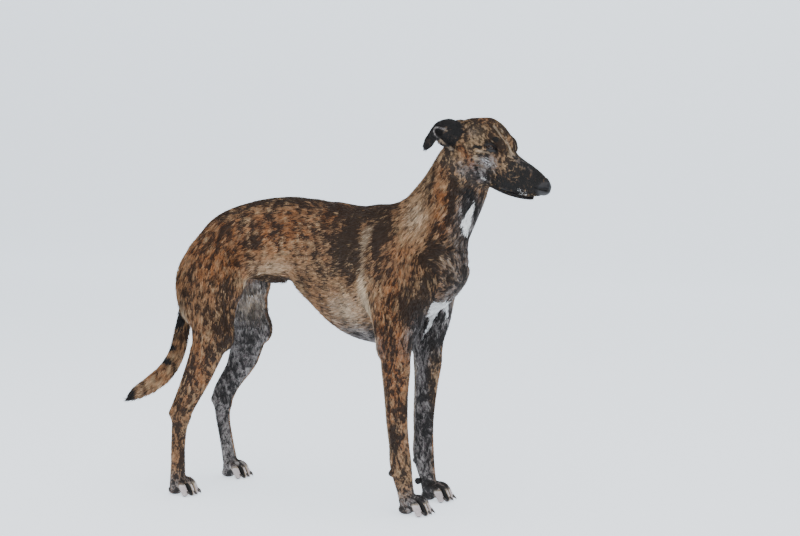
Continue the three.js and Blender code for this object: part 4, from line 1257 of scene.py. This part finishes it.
ground = mix_colours(brindle, pale_share, ground, CREAM)
mottle = noise(brindle, warped, MOTTLES, 2.0, 0.6)
mottle = ramp_between(brindle, mottle, 0.3, 0.7, "LINEAR")
ground = scaled(brindle, ground, sum_of(brindle, "MULTIPLY_ADD", mottle, 0.95, 0.52))
dark_hair = mix_colours(brindle, given.outputs["Grey"], DARK_BROWN, BLACK)
covering = sum_of(brindle, "MULTIPLY_ADD", pale_share, -0.55, 0.95)
covering = sum_of(brindle, "MULTIPLY", streaks, covering)
coloured = mix_colours(brindle, covering, ground, dark_hair)

# Solid black and white marks, with hairs of each straying over their edges
ragged = sum_of(brindle, "MULTIPLY_ADD", fleck, 0.6, sum_of(brindle, "MULTIPLY", streak, 0.4))
ragged = sum_of(brindle, "SUBTRACT", ragged, 0.5)
blackness = sum_of(brindle, "MULTIPLY_ADD", ragged, 1.15, given.outputs["Black"])
blackness = sum_of(brindle, "MULTIPLY_ADD", chance, 0.30, blackness)
soot = mix_colours(brindle, ramp_between(brindle, hairs, 0.35, 0.65), BLACK, SOOT)
coloured = mix_colours(brindle, ramp_between(brindle, blackness, 0.34, 0.62), coloured, soot)
whiteness = sum_of(brindle, "MULTIPLY_ADD", ragged, 0.6, given.outputs["White"])
whiteness = sum_of(brindle, "MULTIPLY_ADD", chance, 0.42, whiteness)
white_hair = mix_colours(brindle, given.outputs["Pale"], WHITE, PINKISH)
coloured = mix_colours(brindle, ramp_between(brindle, whiteness, 0.44, 0.56), coloured, white_hair)
light = sum_of(brindle, "MULTIPLY_ADD", given.outputs["Tone"], 0.50, 0.72)
light = sum_of(brindle, "MULTIPLY", light, ramp_between(brindle, hairs, -0.6, 1.2, "LINEAR"))
light = sum_of(brindle, "MULTIPLY", light, BRIGHTNESS)
brindle.links.new(scaled(brindle, coloured, light), result.inputs["Color"])


def read_field(tree, name, output="Fac"):
    node = add_node(tree, "ShaderNodeAttribute", attribute_name=name, attribute_type="GEOMETRY")
    return node.outputs[output]


def brindled(tree, place, tone):
    inputs = {name: read_field(tree, name.lower()) for name in FIELD_NAMES}
    inputs.update({"Place": place, "Tone": tone})
    return add_node(tree, "ShaderNodeGroup", inputs, node_tree=brindle).outputs["Color"]


def new_material(name, roughness):
    material = bpy.data.materials.new(name)
    material.use_nodes = True
    tree = material.node_tree
    shader = tree.nodes["Principled BSDF"]
    shader.inputs["Roughness"].default_value = roughness
    return material, tree, shader


# Skin finish: the same brindle, with fine ridges of flat hair along the lie. The nose, lips
# and lid rims are bare: near black, pebbled on the nose, and moist.
RIND = shade(0.006, 0.0055, 0.006)
WORN_RIND = shade(0.020, 0.0185, 0.020)
RIDGES = 900.0
RIDGE_STRETCH = 0.88
PEBBLES = 760.0
hide, tree, shader = new_material("brindle_hide", 0.62)
place = add_node(tree, "ShaderNodeTexCoord").outputs["Object"]
fur = brindled(tree, place, 0.5)
lie = read_field(tree, "lie", "Vector")
along = add_node(tree, "ShaderNodeVectorMath", {0: place, 1: lie}, operation="DOT_PRODUCT")
pull = sum_of(tree, "MULTIPLY", along.outputs["Value"], -RIDGE_STRETCH)
combed = added(tree, place, scaled(tree, lie, pull))
ridges = noise(tree, combed, RIDGES, 2.0, 0.6)
pebbled = add_node(tree, "ShaderNodeTexVoronoi", {"Vector": place, "Scale": PEBBLES}, feature="F1")
wear = noise(tree, place, 90.0, 3.0)
bare = ramp_between(tree, read_field(tree, "bare"), 0.42, 0.58)
rind = mix_colours(tree, ramp_between(tree, wear, 0.35, 0.65), RIND, WORN_RIND)
tree.links.new(mix_colours(tree, bare, fur, rind), shader.inputs["Base Color"])
tree.links.new(sum_of(tree, "MULTIPLY", bare, 0.14), shader.inputs["Coat Weight"])
shader.inputs["Coat Roughness"].default_value = 0.30
shader.inputs["Specular IOR Level"].default_value = 0.4
rough = add_node(tree, "ShaderNodeMapRange", {"Value": bare, "To Min": 0.68, "To Max": 0.50})
tree.links.new(rough.outputs["Result"], shader.inputs["Roughness"])
heights = {0: bare, 2: ridges, 3: pebbled.outputs["Distance"]}
relief = add_node(tree, "ShaderNodeMix", heights, data_type="FLOAT").outputs[0]
bump = add_node(tree, "ShaderNodeBump", {"Height": relief, "Strength": 0.55, "Distance": 0.0008})
tree.links.new(bump.outputs["Normal"], shader.inputs["Normal"])
skin.data.materials.append(hide)
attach(skin, "root")
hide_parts(*[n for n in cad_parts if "claw" not in n and not n.startswith("eye")])


# Eyes
# Glass eyes with a clear bulge over a dark brown iris and a black pupil, glued into the
# sockets behind the lids.
GAZE = np.array([0.42, 0.905, 0.03])
GLASS_RADIUS = 11.2
BULGE = 0.75
BULGE_ANGLE = 0.42


def eyeball(side, rings=40, turns=48):
    """A ball whose poles look along the gaze, and the angle of each point from that line."""
    gaze = GAZE / np.linalg.norm(GAZE)
    across = np.cross([0.0, 0.0, 1.0], gaze)
    across /= np.linalg.norm(across)
    over = np.cross(gaze, across)
    angles = [0.0] + [math.pi * (i + 0.5) / rings for i in range(rings)] + [math.pi]
    verts, seen_at, faces = [], [], []
    for angle in angles:
        radius = GLASS_RADIUS + BULGE * math.exp(-((angle / BULGE_ANGLE) ** 2))
        for j in range(turns if 0 < angle < math.pi else 1):
            a = 2 * math.pi * j / turns
            outward = across * math.cos(a) + over * math.sin(a)
            verts.append(EYE_PLACE + (gaze * math.cos(angle) + outward * math.sin(angle)) * radius)
            seen_at.append(angle)
    last = len(verts) - 1
    final_ring = 1 + (rings - 1) * turns
    for j in range(turns):
        k = (j + 1) % turns
        faces.append([0, 1 + j, 1 + k, -1])
        for a in range(1, final_ring, turns):
            b = a + turns
            faces.append([a + j, b + j, b + k, a + k])
        faces.append([last, final_ring + k, final_ring + j, -1])
    verts, faces = np.array(verts), np.array(faces)
    verts[:, 1] *= side
    if side < 0:
        faces = faces[:, ::-1]
    name = "eye_right_glass" if side < 0 else "eye_left_glass"
    return mesh_object(name, from_head(verts), faces), np.array(seen_at)


PUPIL = shade(0.003, 0.003, 0.003)
IRIS = shade(0.012, 0.006, 0.0035)
IRIS_FIBRE = shade(0.040, 0.018, 0.008)
IRIS_RIM = shade(0.008, 0.005, 0.004)
EYE_WHITE = shade(0.06, 0.045, 0.04)
eye_glass, tree, shader = new_material("eye_glass", 0.10)
place = add_node(tree, "ShaderNodeTexCoord").outputs["Object"]
angle = read_field(tree, "angle")
fibres = noise(tree, place, 900.0, 3.0, 0.7, 1.0)
seen = mix_colours(tree, ramp_between(tree, fibres, 0.3, 0.7), IRIS, IRIS_FIBRE)
seen = mix_colours(tree, ramp_between(tree, angle, 0.44, 0.56), seen, IRIS_RIM)
seen = mix_colours(tree, ramp_between(tree, angle, 0.62, 0.80), seen, EYE_WHITE)
seen = mix_colours(tree, ramp_between(tree, angle, 0.20, 0.25), PUPIL, seen)
tree.links.new(seen, shader.inputs["Base Color"])
shader.inputs["Specular IOR Level"].default_value = 0.2
shader.inputs["Coat Weight"].default_value = 0.4
shader.inputs["Coat Roughness"].default_value = 0.05
for side, node in ((1, "eye_left"), (-1, "eye_right")):
    eye, seen_at = eyeball(side)
    write_field(eye.data, "angle", seen_at)
    eye.data.materials.append(eye_glass)
    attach(eye, "root")
    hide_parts(node)


# Claws
# Blunt curved claws of dark horn, four to a paw and a small one on each dewclaw, cast in
# resin and glued into sockets in the toes.
CLAW_CURVE = [
    (-7, 1, 3.2), (-2, 1.1, 3.2), (2, 0.6, 3.0), (5, -0.6, 2.6), (7.6, -2.3, 2.0), (9.4, -4.0, 1.35),
    (10.4, -5.4, 0.7),
]
CLAW_FLATNESS = 0.8
DEWCLAW_SIZE = 0.72
# Where a claw leaves the paw: further out than the toe's root, past its tip, and this high
CLAW_OUT = 1.1
CLAW_AHEAD = 5
CLAW_HEIGHT = 11


def claw(root, size, verts, faces, turns=16):
    """Adds one claw to the lists. Its curve has the way ahead, the height and the half-thickness."""
    stations = []
    for ahead, up, half in CLAW_CURVE:
        place = [root[0] + ahead * size, root[1], root[2] + up * size]
        stations.append(place + [half * size, half * size, CLAW_FLATNESS * half * size])
    form = Swept(stations)
    first = len(verts)
    for row, turn in zip(form.rows, form.frames):
        for j in range(turns):
            a = 2 * math.pi * j / turns
            verts.append(row[:3] + turn[0] * row[3] * math.sin(a) + turn[1] * row[5] * math.cos(a))
    back = len(verts)
    final_ring = back - turns
    verts.append(form.rows[0][:3] - form.frames[0][2] * 0.5 * size)
    verts.append(form.rows[-1][:3] + form.frames[-1][2] * 0.5 * size)
    for j in range(turns):
        k = (j + 1) % turns
        faces.append([back, first + j, first + k, -1])
        for a in range(first, final_ring, turns):
            b = a + turns
            faces.append([a + j, b + j, b + k, a + k])
        faces.append([back + 1, final_ring + k, final_ring + j, -1])


HORN = shade(0.016, 0.013, 0.012)
HORN_GRAIN = shade(0.085, 0.066, 0.055)
horn, tree, shader = new_material("claw_horn", 0.42)
place = add_node(tree, "ShaderNodeTexCoord").outputs["Object"]
grain = add_node(tree, "ShaderNodeMapping", {"Vector": place, "Scale": (0.25, 1.0, 1.0)}).outputs[0]
grain = noise(tree, grain, 1500.0, 2.0, 0.6)
horn_look = mix_colours(tree, ramp_between(tree, grain, 0.35, 0.7), HORN, HORN_GRAIN)
tree.links.new(horn_look, shader.inputs["Base Color"])
bump = add_node(tree, "ShaderNodeBump", {"Height": grain, "Strength": 0.3, "Distance": 0.0003})
tree.links.new(bump.outputs["Normal"], shader.inputs["Normal"])
CLAW_NAMES = ["inner", "mid_inner", "mid_outer", "outer"]
PAWS = [
    ("fore", FORE_PAW_X, FORE_OUT, 1, fore_lead),
    ("hind", HIND_PAW_X, HIND_OUT, HIND_PAW_SIZE, hind_lead),
]
for side, side_name in ((1, "left"), (-1, "right")):
    for pair, at_x, out, size, lead in PAWS:
        verts, faces = [], []
        ahead = float(lead(np.array([0.0]), np.array([side]))[0])
        for aside, reach, _ in TOES:
            across = side * (out + aside * CLAW_OUT * size)
            root = np.array([at_x + (reach + CLAW_AHEAD) * size + ahead, across, CLAW_HEIGHT * size])
            claw(root, size, verts, faces)
        nodes = [f"{pair}_paw_{side_name}_claw_{name}" for name in CLAW_NAMES]
        if pair == "fore":
            dew = DEWCLAW_PLACE * [1, side, 1]
            ahead = float(fore_lead(dew[2:], dew[1:2])[0])
            claw(dew + [ahead, 0, -1], DEWCLAW_SIZE, verts, faces)
            nodes.append(f"fore_pastern_{side_name}_dewclaw")
        claws = mesh_object(f"claws_{pair}_{side_name}", np.array(verts), np.array(faces))
        claws.data.materials.append(horn)
        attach(claws, "root")
        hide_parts(*nodes)


# Coat
# Short flat hair in small pointed tufts, each a thin closed blade rooted under the skin and
# lying along the coat. They are smallest on the head and feet, and longest on the belly, the
# backs of the thighs and the tail. Geometry Nodes set them over the skin.
def tuft_blade():
    """One blade with a three-cornered section, of length, breadth and thickness one."""
    rings = [(-0.06, 0.55, -0.9, 0.0), (0.38, 1.0, 0.5, 1.0)]
    verts = []
    for ahead, breadth, rise, thick in rings:
        verts += [(ahead, -0.5 * breadth, rise), (ahead, 0.5 * breadth, rise)]
        verts.append((ahead + 0.05, 0, rise + thick + 0.25))
    verts.append((1.0, 0.0, 0.35))
    faces = [(0, 1, 2)]
    for a in range(3):
        b = (a + 1) % 3
        faces += [(a, a + 3, b), (b, a + 3, b + 3), (a + 3, 6, b + 3)]
    mesh = bpy.data.meshes.new("tuft_blade")
    mesh.from_pydata(verts, [], faces)
    write_field(mesh, "blade", np.array(verts))
    return bpy.data.objects.new("tuft_blade", mesh)


tuft = tuft_blade()
bpy.context.scene.collection.objects.link(tuft)

comb = bpy.data.node_groups.new("lay_the_coat", "GeometryNodeTree")
comb.interface.new_socket("Geometry", in_out="INPUT", socket_type="NodeSocketGeometry")
SOCKETS = [
    ("Tuft", "NodeSocketObject", None),
    ("Tufts per square metre", "NodeSocketFloat", 1e5),
    ("Breadth", "NodeSocketFloat", 0.15),
    ("Thickness", "NodeSocketFloat", 0.0005),
    ("Lift", "NodeSocketFloat", 0.1),
    ("Spread", "NodeSocketFloat", 0.2),
    ("Seed", "NodeSocketInt", 1),
    ("Hair", "NodeSocketMaterial", None),
]
for title, kind, value in SOCKETS:
    socket = comb.interface.new_socket(title, in_out="INPUT", socket_type=kind)
    if value is not None:
        socket.default_value = value
comb.interface.new_socket("Geometry", in_out="OUTPUT", socket_type="NodeSocketGeometry")
source = comb.nodes.new("NodeGroupInput")
sink = comb.nodes.new("NodeGroupOutput")


def link_node(kind, inputs=None, **settings):
    return add_node(comb, kind, inputs, **settings)


def read_named(name, kind="FLOAT"):
    return link_node("GeometryNodeInputNamedAttribute", {"Name": name}, data_type=kind).outputs["Attribute"]


def product(a, b):
    return link_node("ShaderNodeMath", {0: a, 1: b}, operation="MULTIPLY").outputs[0]


def stored(points, name, value, kind="FLOAT"):
    inputs = {"Geometry": points, "Name": name, "Value": value}
    return link_node("GeometryNodeStoreNamedAttribute", inputs, data_type=kind).outputs[0]


def drawn(low, high, seed, kind="FLOAT"):
    """A random value between two others, drawn for each tuft from a fixed seed."""
    node = link_node("FunctionNodeRandomValue", {"Seed": seed}, data_type=kind)
    slots = (0, 1) if kind == "FLOAT_VECTOR" else (2, 3)
    node.inputs[slots[0]].default_value = low
    node.inputs[slots[1]].default_value = high
    return node.outputs[0 if kind == "FLOAT_VECTOR" else 1]


sowing = {
    "Mesh": source.outputs["Geometry"],
    "Density": product(read_named("here"), source.outputs["Tufts per square metre"]),
    "Seed": source.outputs["Seed"],
}
sown = link_node("GeometryNodeDistributePointsOnFaces", sowing, distribute_method="RANDOM")
at_root = link_node("GeometryNodeInputPosition").outputs[0]
rooted = stored(sown.outputs["Points"], "root", at_root, "FLOAT_VECTOR")
toned = stored(rooted, "tone", drawn(0.0, 1.0, 3))
stray = drawn((-1, -1, -1), (1, 1, 1), 5, "FLOAT_VECTOR")
way = added(comb, read_named("lie", "FLOAT_VECTOR"), scaled(comb, stray, source.outputs["Spread"]))
laying = {"Rotation": sown.outputs["Rotation"], "Vector": way}
laid = link_node("FunctionNodeAlignRotationToVector", laying, axis="X", pivot_axis="Z")
rise = product(source.outputs["Lift"], drawn(-1.5, -0.3, 7))
tilt = link_node("FunctionNodeAxisAngleToRotation", {"Axis": (0, 1, 0), "Angle": rise})
raising = {"Rotation": laid.outputs[0], "Rotate By": tilt.outputs[0]}
raised = link_node("FunctionNodeRotateRotation", raising, rotation_space="LOCAL")
long = product(read_named("hair"), drawn(0.72, 1.25, 9))
wide = product(long, source.outputs["Breadth"])
size = link_node("ShaderNodeCombineXYZ", {0: long, 1: wide, 2: source.outputs["Thickness"]}).outputs[0]
blade = link_node("GeometryNodeObjectInfo", {"Object": source.outputs["Tuft"]}, transform_space="ORIGINAL")
setting = {
    "Points": toned,
    "Instance": blade.outputs["Geometry"],
    "Rotation": raised.outputs[0],
    "Scale": size,
}
set_out = link_node("GeometryNodeInstanceOnPoints", setting)
real = link_node("GeometryNodeRealizeInstances", {"Geometry": set_out.outputs[0]})
finishing = {"Geometry": real.outputs[0], "Material": source.outputs["Hair"]}
finished = link_node("GeometryNodeSetMaterial", finishing)
comb.links.new(finished.outputs[0], sink.inputs[0])

# Hair finish: each tuft takes the brindle's colour at its root, a little lighter to its tip
hair_finish, tree, shader = new_material("brindle_hair", 0.55)
tip = add_node(tree, "ShaderNodeSeparateXYZ", {0: read_field(tree, "blade", "Vector")}).outputs[0]
tone = sum_of(tree, "MULTIPLY_ADD", read_field(tree, "tone"), 0.9, -0.08)
tone = sum_of(tree, "MULTIPLY_ADD", tip, 0.35, tone)
fur = brindled(tree, read_field(tree, "root", "Vector"), tone)
tree.links.new(fur, shader.inputs["Base Color"])
shader.inputs["Specular IOR Level"].default_value = 0.16

# Unwrap of each part of the coat: along the part, and round it. A leg is taken as one upright
# post, whose middle is given ahead and to the side.
HEAD_BACK, HEAD_FRONT, HEAD_MIDDLE = -60, 280, -5
LEG_MIDDLES = {"shoulder": (-40, 80), "foreleg": (-30, 80), "thigh": (-540, 108), "hindleg": (-590, 108)}
LEG_HEIGHT = 740


def unwrap(kind, p):
    if kind == "head":
        q = in_head(p)
        along = (q[:, 0] - HEAD_BACK) / (HEAD_FRONT - HEAD_BACK)
        turn = np.arctan2(q[:, 1], q[:, 2] - HEAD_MIDDLE)
    elif kind in LEG_MIDDLES:
        middle_x, middle_y = LEG_MIDDLES[kind]
        along = (p[:, 2] / LEG_HEIGHT) % 1
        turn = np.arctan2(np.abs(p[:, 1]) - middle_y, p[:, 0] - middle_x)
    else:
        form = {"neck": neck, "tail": tail}.get(kind, trunk)
        where, t, _ = form.nearest(p)
        along = (where + t) / (len(form.rows) - 1)
        turn = np.arctan2(p[:, 1], p[:, 2] - form.rows[where, 2])
    return np.stack([along, (turn / math.pi + 1) / 2], axis=1)


# Tufts per square metre, breadth by length, spread and lift for each part
WEAVE = {
    "head": (330000, 0.20, 0.16, 0.08),
    "neck": (100000, 0.15, 0.26, 0.16),
    "shoulder": (104000, 0.15, 0.22, 0.13),
    "ribs": (100000, 0.15, 0.22, 0.12),
    "loin": (100000, 0.15, 0.24, 0.12),
    "thigh": (104000, 0.15, 0.26, 0.14),
    "foreleg": (160000, 0.18, 0.20, 0.10),
    "hindleg": (160000, 0.18, 0.22, 0.11),
    "tail": (170000, 0.12, 0.26, 0.20),
}
BLADE_THICKNESS = 0.00045
FIRST_SEED = 11
BARE_FROM = 0.45
# The unwrapped part leaves a margin, and each tuft has a small patch of it about its root
MARGIN = 0.004
UNWRAPPED_SHARE = 0.99
PATCH = 0.003
QUICK_SHARE, QUICK_BREADTH = ((1.0, 1.0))
keys = {item.name: item.identifier for item in comb.interface.items_tree if item.in_out == "INPUT"}
skin.data.attributes.new("here", "FLOAT", "POINT")
for number, part in enumerate(PARTS):
    kind = part.split("_")[0]
    density, breadth, spread, lift = WEAVE[kind]
    here = (skin_part == number) & (colour_fields["bare"] < BARE_FROM)
    skin.data.attributes["here"].data.foreach_set("value", here.astype(np.float32))
    modifier = skin.modifiers.new("coat", "NODES")
    modifier.node_group = comb
    modifier[keys["Tuft"]] = tuft
    modifier[keys["Tufts per square metre"]] = density * QUICK_SHARE
    modifier[keys["Breadth"]] = breadth * QUICK_BREADTH
    modifier[keys["Thickness"]] = BLADE_THICKNESS
    modifier[keys["Lift"]] = lift
    modifier[keys["Spread"]] = spread
    modifier[keys["Seed"]] = FIRST_SEED + number
    modifier[keys["Hair"]] = hair_finish
    bpy.context.view_layer.update()
    shaped = skin.evaluated_get(bpy.context.evaluated_depsgraph_get())
    mesh = bpy.data.meshes.new_from_object(shaped)
    skin.modifiers.remove(modifier)
    mesh.name = "coat_" + part
    for name in ("lie", "hair", "here", "bare"):
        if name in mesh.attributes:
            mesh.attributes.remove(mesh.attributes[name])
    roots = read_vectors(mesh.attributes["root"].data, "vector")
    local = read_vectors(mesh.attributes["blade"].data, "vector")
    flat_place = MARGIN + UNWRAPPED_SHARE * unwrap(kind, in_millimetres(roots))
    flat_place += PATCH * (local[:, :2] * [0.9, 1.0] + [0.05, 0.5])
    corner = np.empty(len(mesh.loops), np.int32)
    mesh.loops.foreach_get("vertex_index", corner)
    layer = mesh.uv_layers.new(name="OFBake")
    layer.uv.foreach_set("vector", flat_place[corner].astype(np.float32).ravel())
    coat = bpy.data.objects.new("coat_" + part, mesh)
    bpy.context.scene.collection.objects.link(coat)
    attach(coat, "root")
bpy.data.objects.remove(tuft)


# Floor, light and camera
# A plain pale floor that runs up into a backdrop, soft studio light from large panels, and
# the camera at the height of the dog's head, a little ahead of square to its right side.
FLOOR_STEPS = 32
FLAT_SHARE, BEND_SHARE = 0.4, 0.35
FLAT_FROM, FLAT_RUN = -4.5, 10
BEND_RADIUS = 2.2
WALL_HEIGHT = 4.0
HALF_WIDTH = 9.0
wall_from = FLAT_SHARE + BEND_SHARE
verts = []
for i in range(FLOOR_STEPS + 1):
    t = i / FLOOR_STEPS
    turn = min(max((t - FLAT_SHARE) / BEND_SHARE, 0), 1) * math.pi / 2
    y = min(t / FLAT_SHARE, 1) * FLAT_RUN + FLAT_FROM + BEND_RADIUS * math.sin(turn)
    z = BEND_RADIUS * (1 - math.cos(turn)) + max(t - wall_from, 0) / (1 - wall_from) * WALL_HEIGHT
    verts += [(-HALF_WIDTH, y, z), (HALF_WIDTH, y, z)]
faces = [(2 * i, 2 * i + 1, 2 * i + 3, 2 * i + 2) for i in range(FLOOR_STEPS)]
floor_mesh = bpy.data.meshes.new("floor")
floor_mesh.from_pydata(verts, [], faces)
floor_mesh.shade_smooth()
floor = bpy.data.objects.new("floor", floor_mesh)
bpy.context.scene.collection.objects.link(floor)
PAPER = shade(0.84, 0.87, 0.91)
PAPER_GLOW = shade(0.84, 0.92, 1.0)
paper = bpy.data.materials.new("pale_paper")
paper.use_nodes = True
paper_look = paper.node_tree.nodes["Principled BSDF"].inputs
paper_look["Base Color"].default_value = PAPER
paper_look["Roughness"].default_value = 0.9
paper_look["Emission Color"].default_value = PAPER_GLOW
paper_look["Emission Strength"].default_value = 1.03
floor_mesh.materials.append(paper)

# Camera: nearly 4 m away, level with the head, 24.4 degrees round from square to the side
AZIMUTH = math.radians(24.4)
PITCH = math.radians(4.695)
CAMERA_PLACE = (1.54521 + FLOOR_SHIFT[0] / 1000, -3.55375, 0.884)
PHOTO_WIDTH = 800
FOCAL_PIXELS = 1668
SENSOR_WIDTH = 36
camera_data = bpy.data.cameras.new("camera")
camera = bpy.data.objects.new("camera", camera_data)
bpy.context.scene.collection.objects.link(camera)
camera.location = CAMERA_PLACE
camera.rotation_euler = (math.pi / 2 - PITCH, 0, AZIMUTH)
camera_data.sensor_width = SENSOR_WIDTH
camera_data.lens = FOCAL_PIXELS / PHOTO_WIDTH * SENSOR_WIDTH
camera_data.clip_end = 60
bpy.context.scene.camera = camera


def panel(name, place, aim, size, power, colour):
    data = bpy.data.lights.new(name, "AREA")
    data.shape = "RECTANGLE"
    data.size, data.size_y = size
    data.energy = power
    data.color = colour
    lamp = bpy.data.objects.new(name, data)
    lamp.location = place
    lamp.rotation_euler = (Vector(aim) - Vector(place)).to_track_quat("-Z", "Y").to_euler()
    bpy.context.scene.collection.objects.link(lamp)


panel("sky_panel", (0.3, -0.8, 4.4), (0, 0, 0.4), (7.0, 6.0), 200, (0.97, 0.985, 1))
panel("camera_side_panel", (1.2, -5.2, 3.0), (0, 0, 0.5), (4.5, 2.5), 95, (1, 0.99, 0.97))
world = bpy.data.worlds.new("soft_sky")
world.use_nodes = True
world.node_tree.nodes["Background"].inputs["Color"].default_value = (0.86, 0.90, 0.96, 1)
world.node_tree.nodes["Background"].inputs["Strength"].default_value = 0.55
bpy.context.scene.world = world
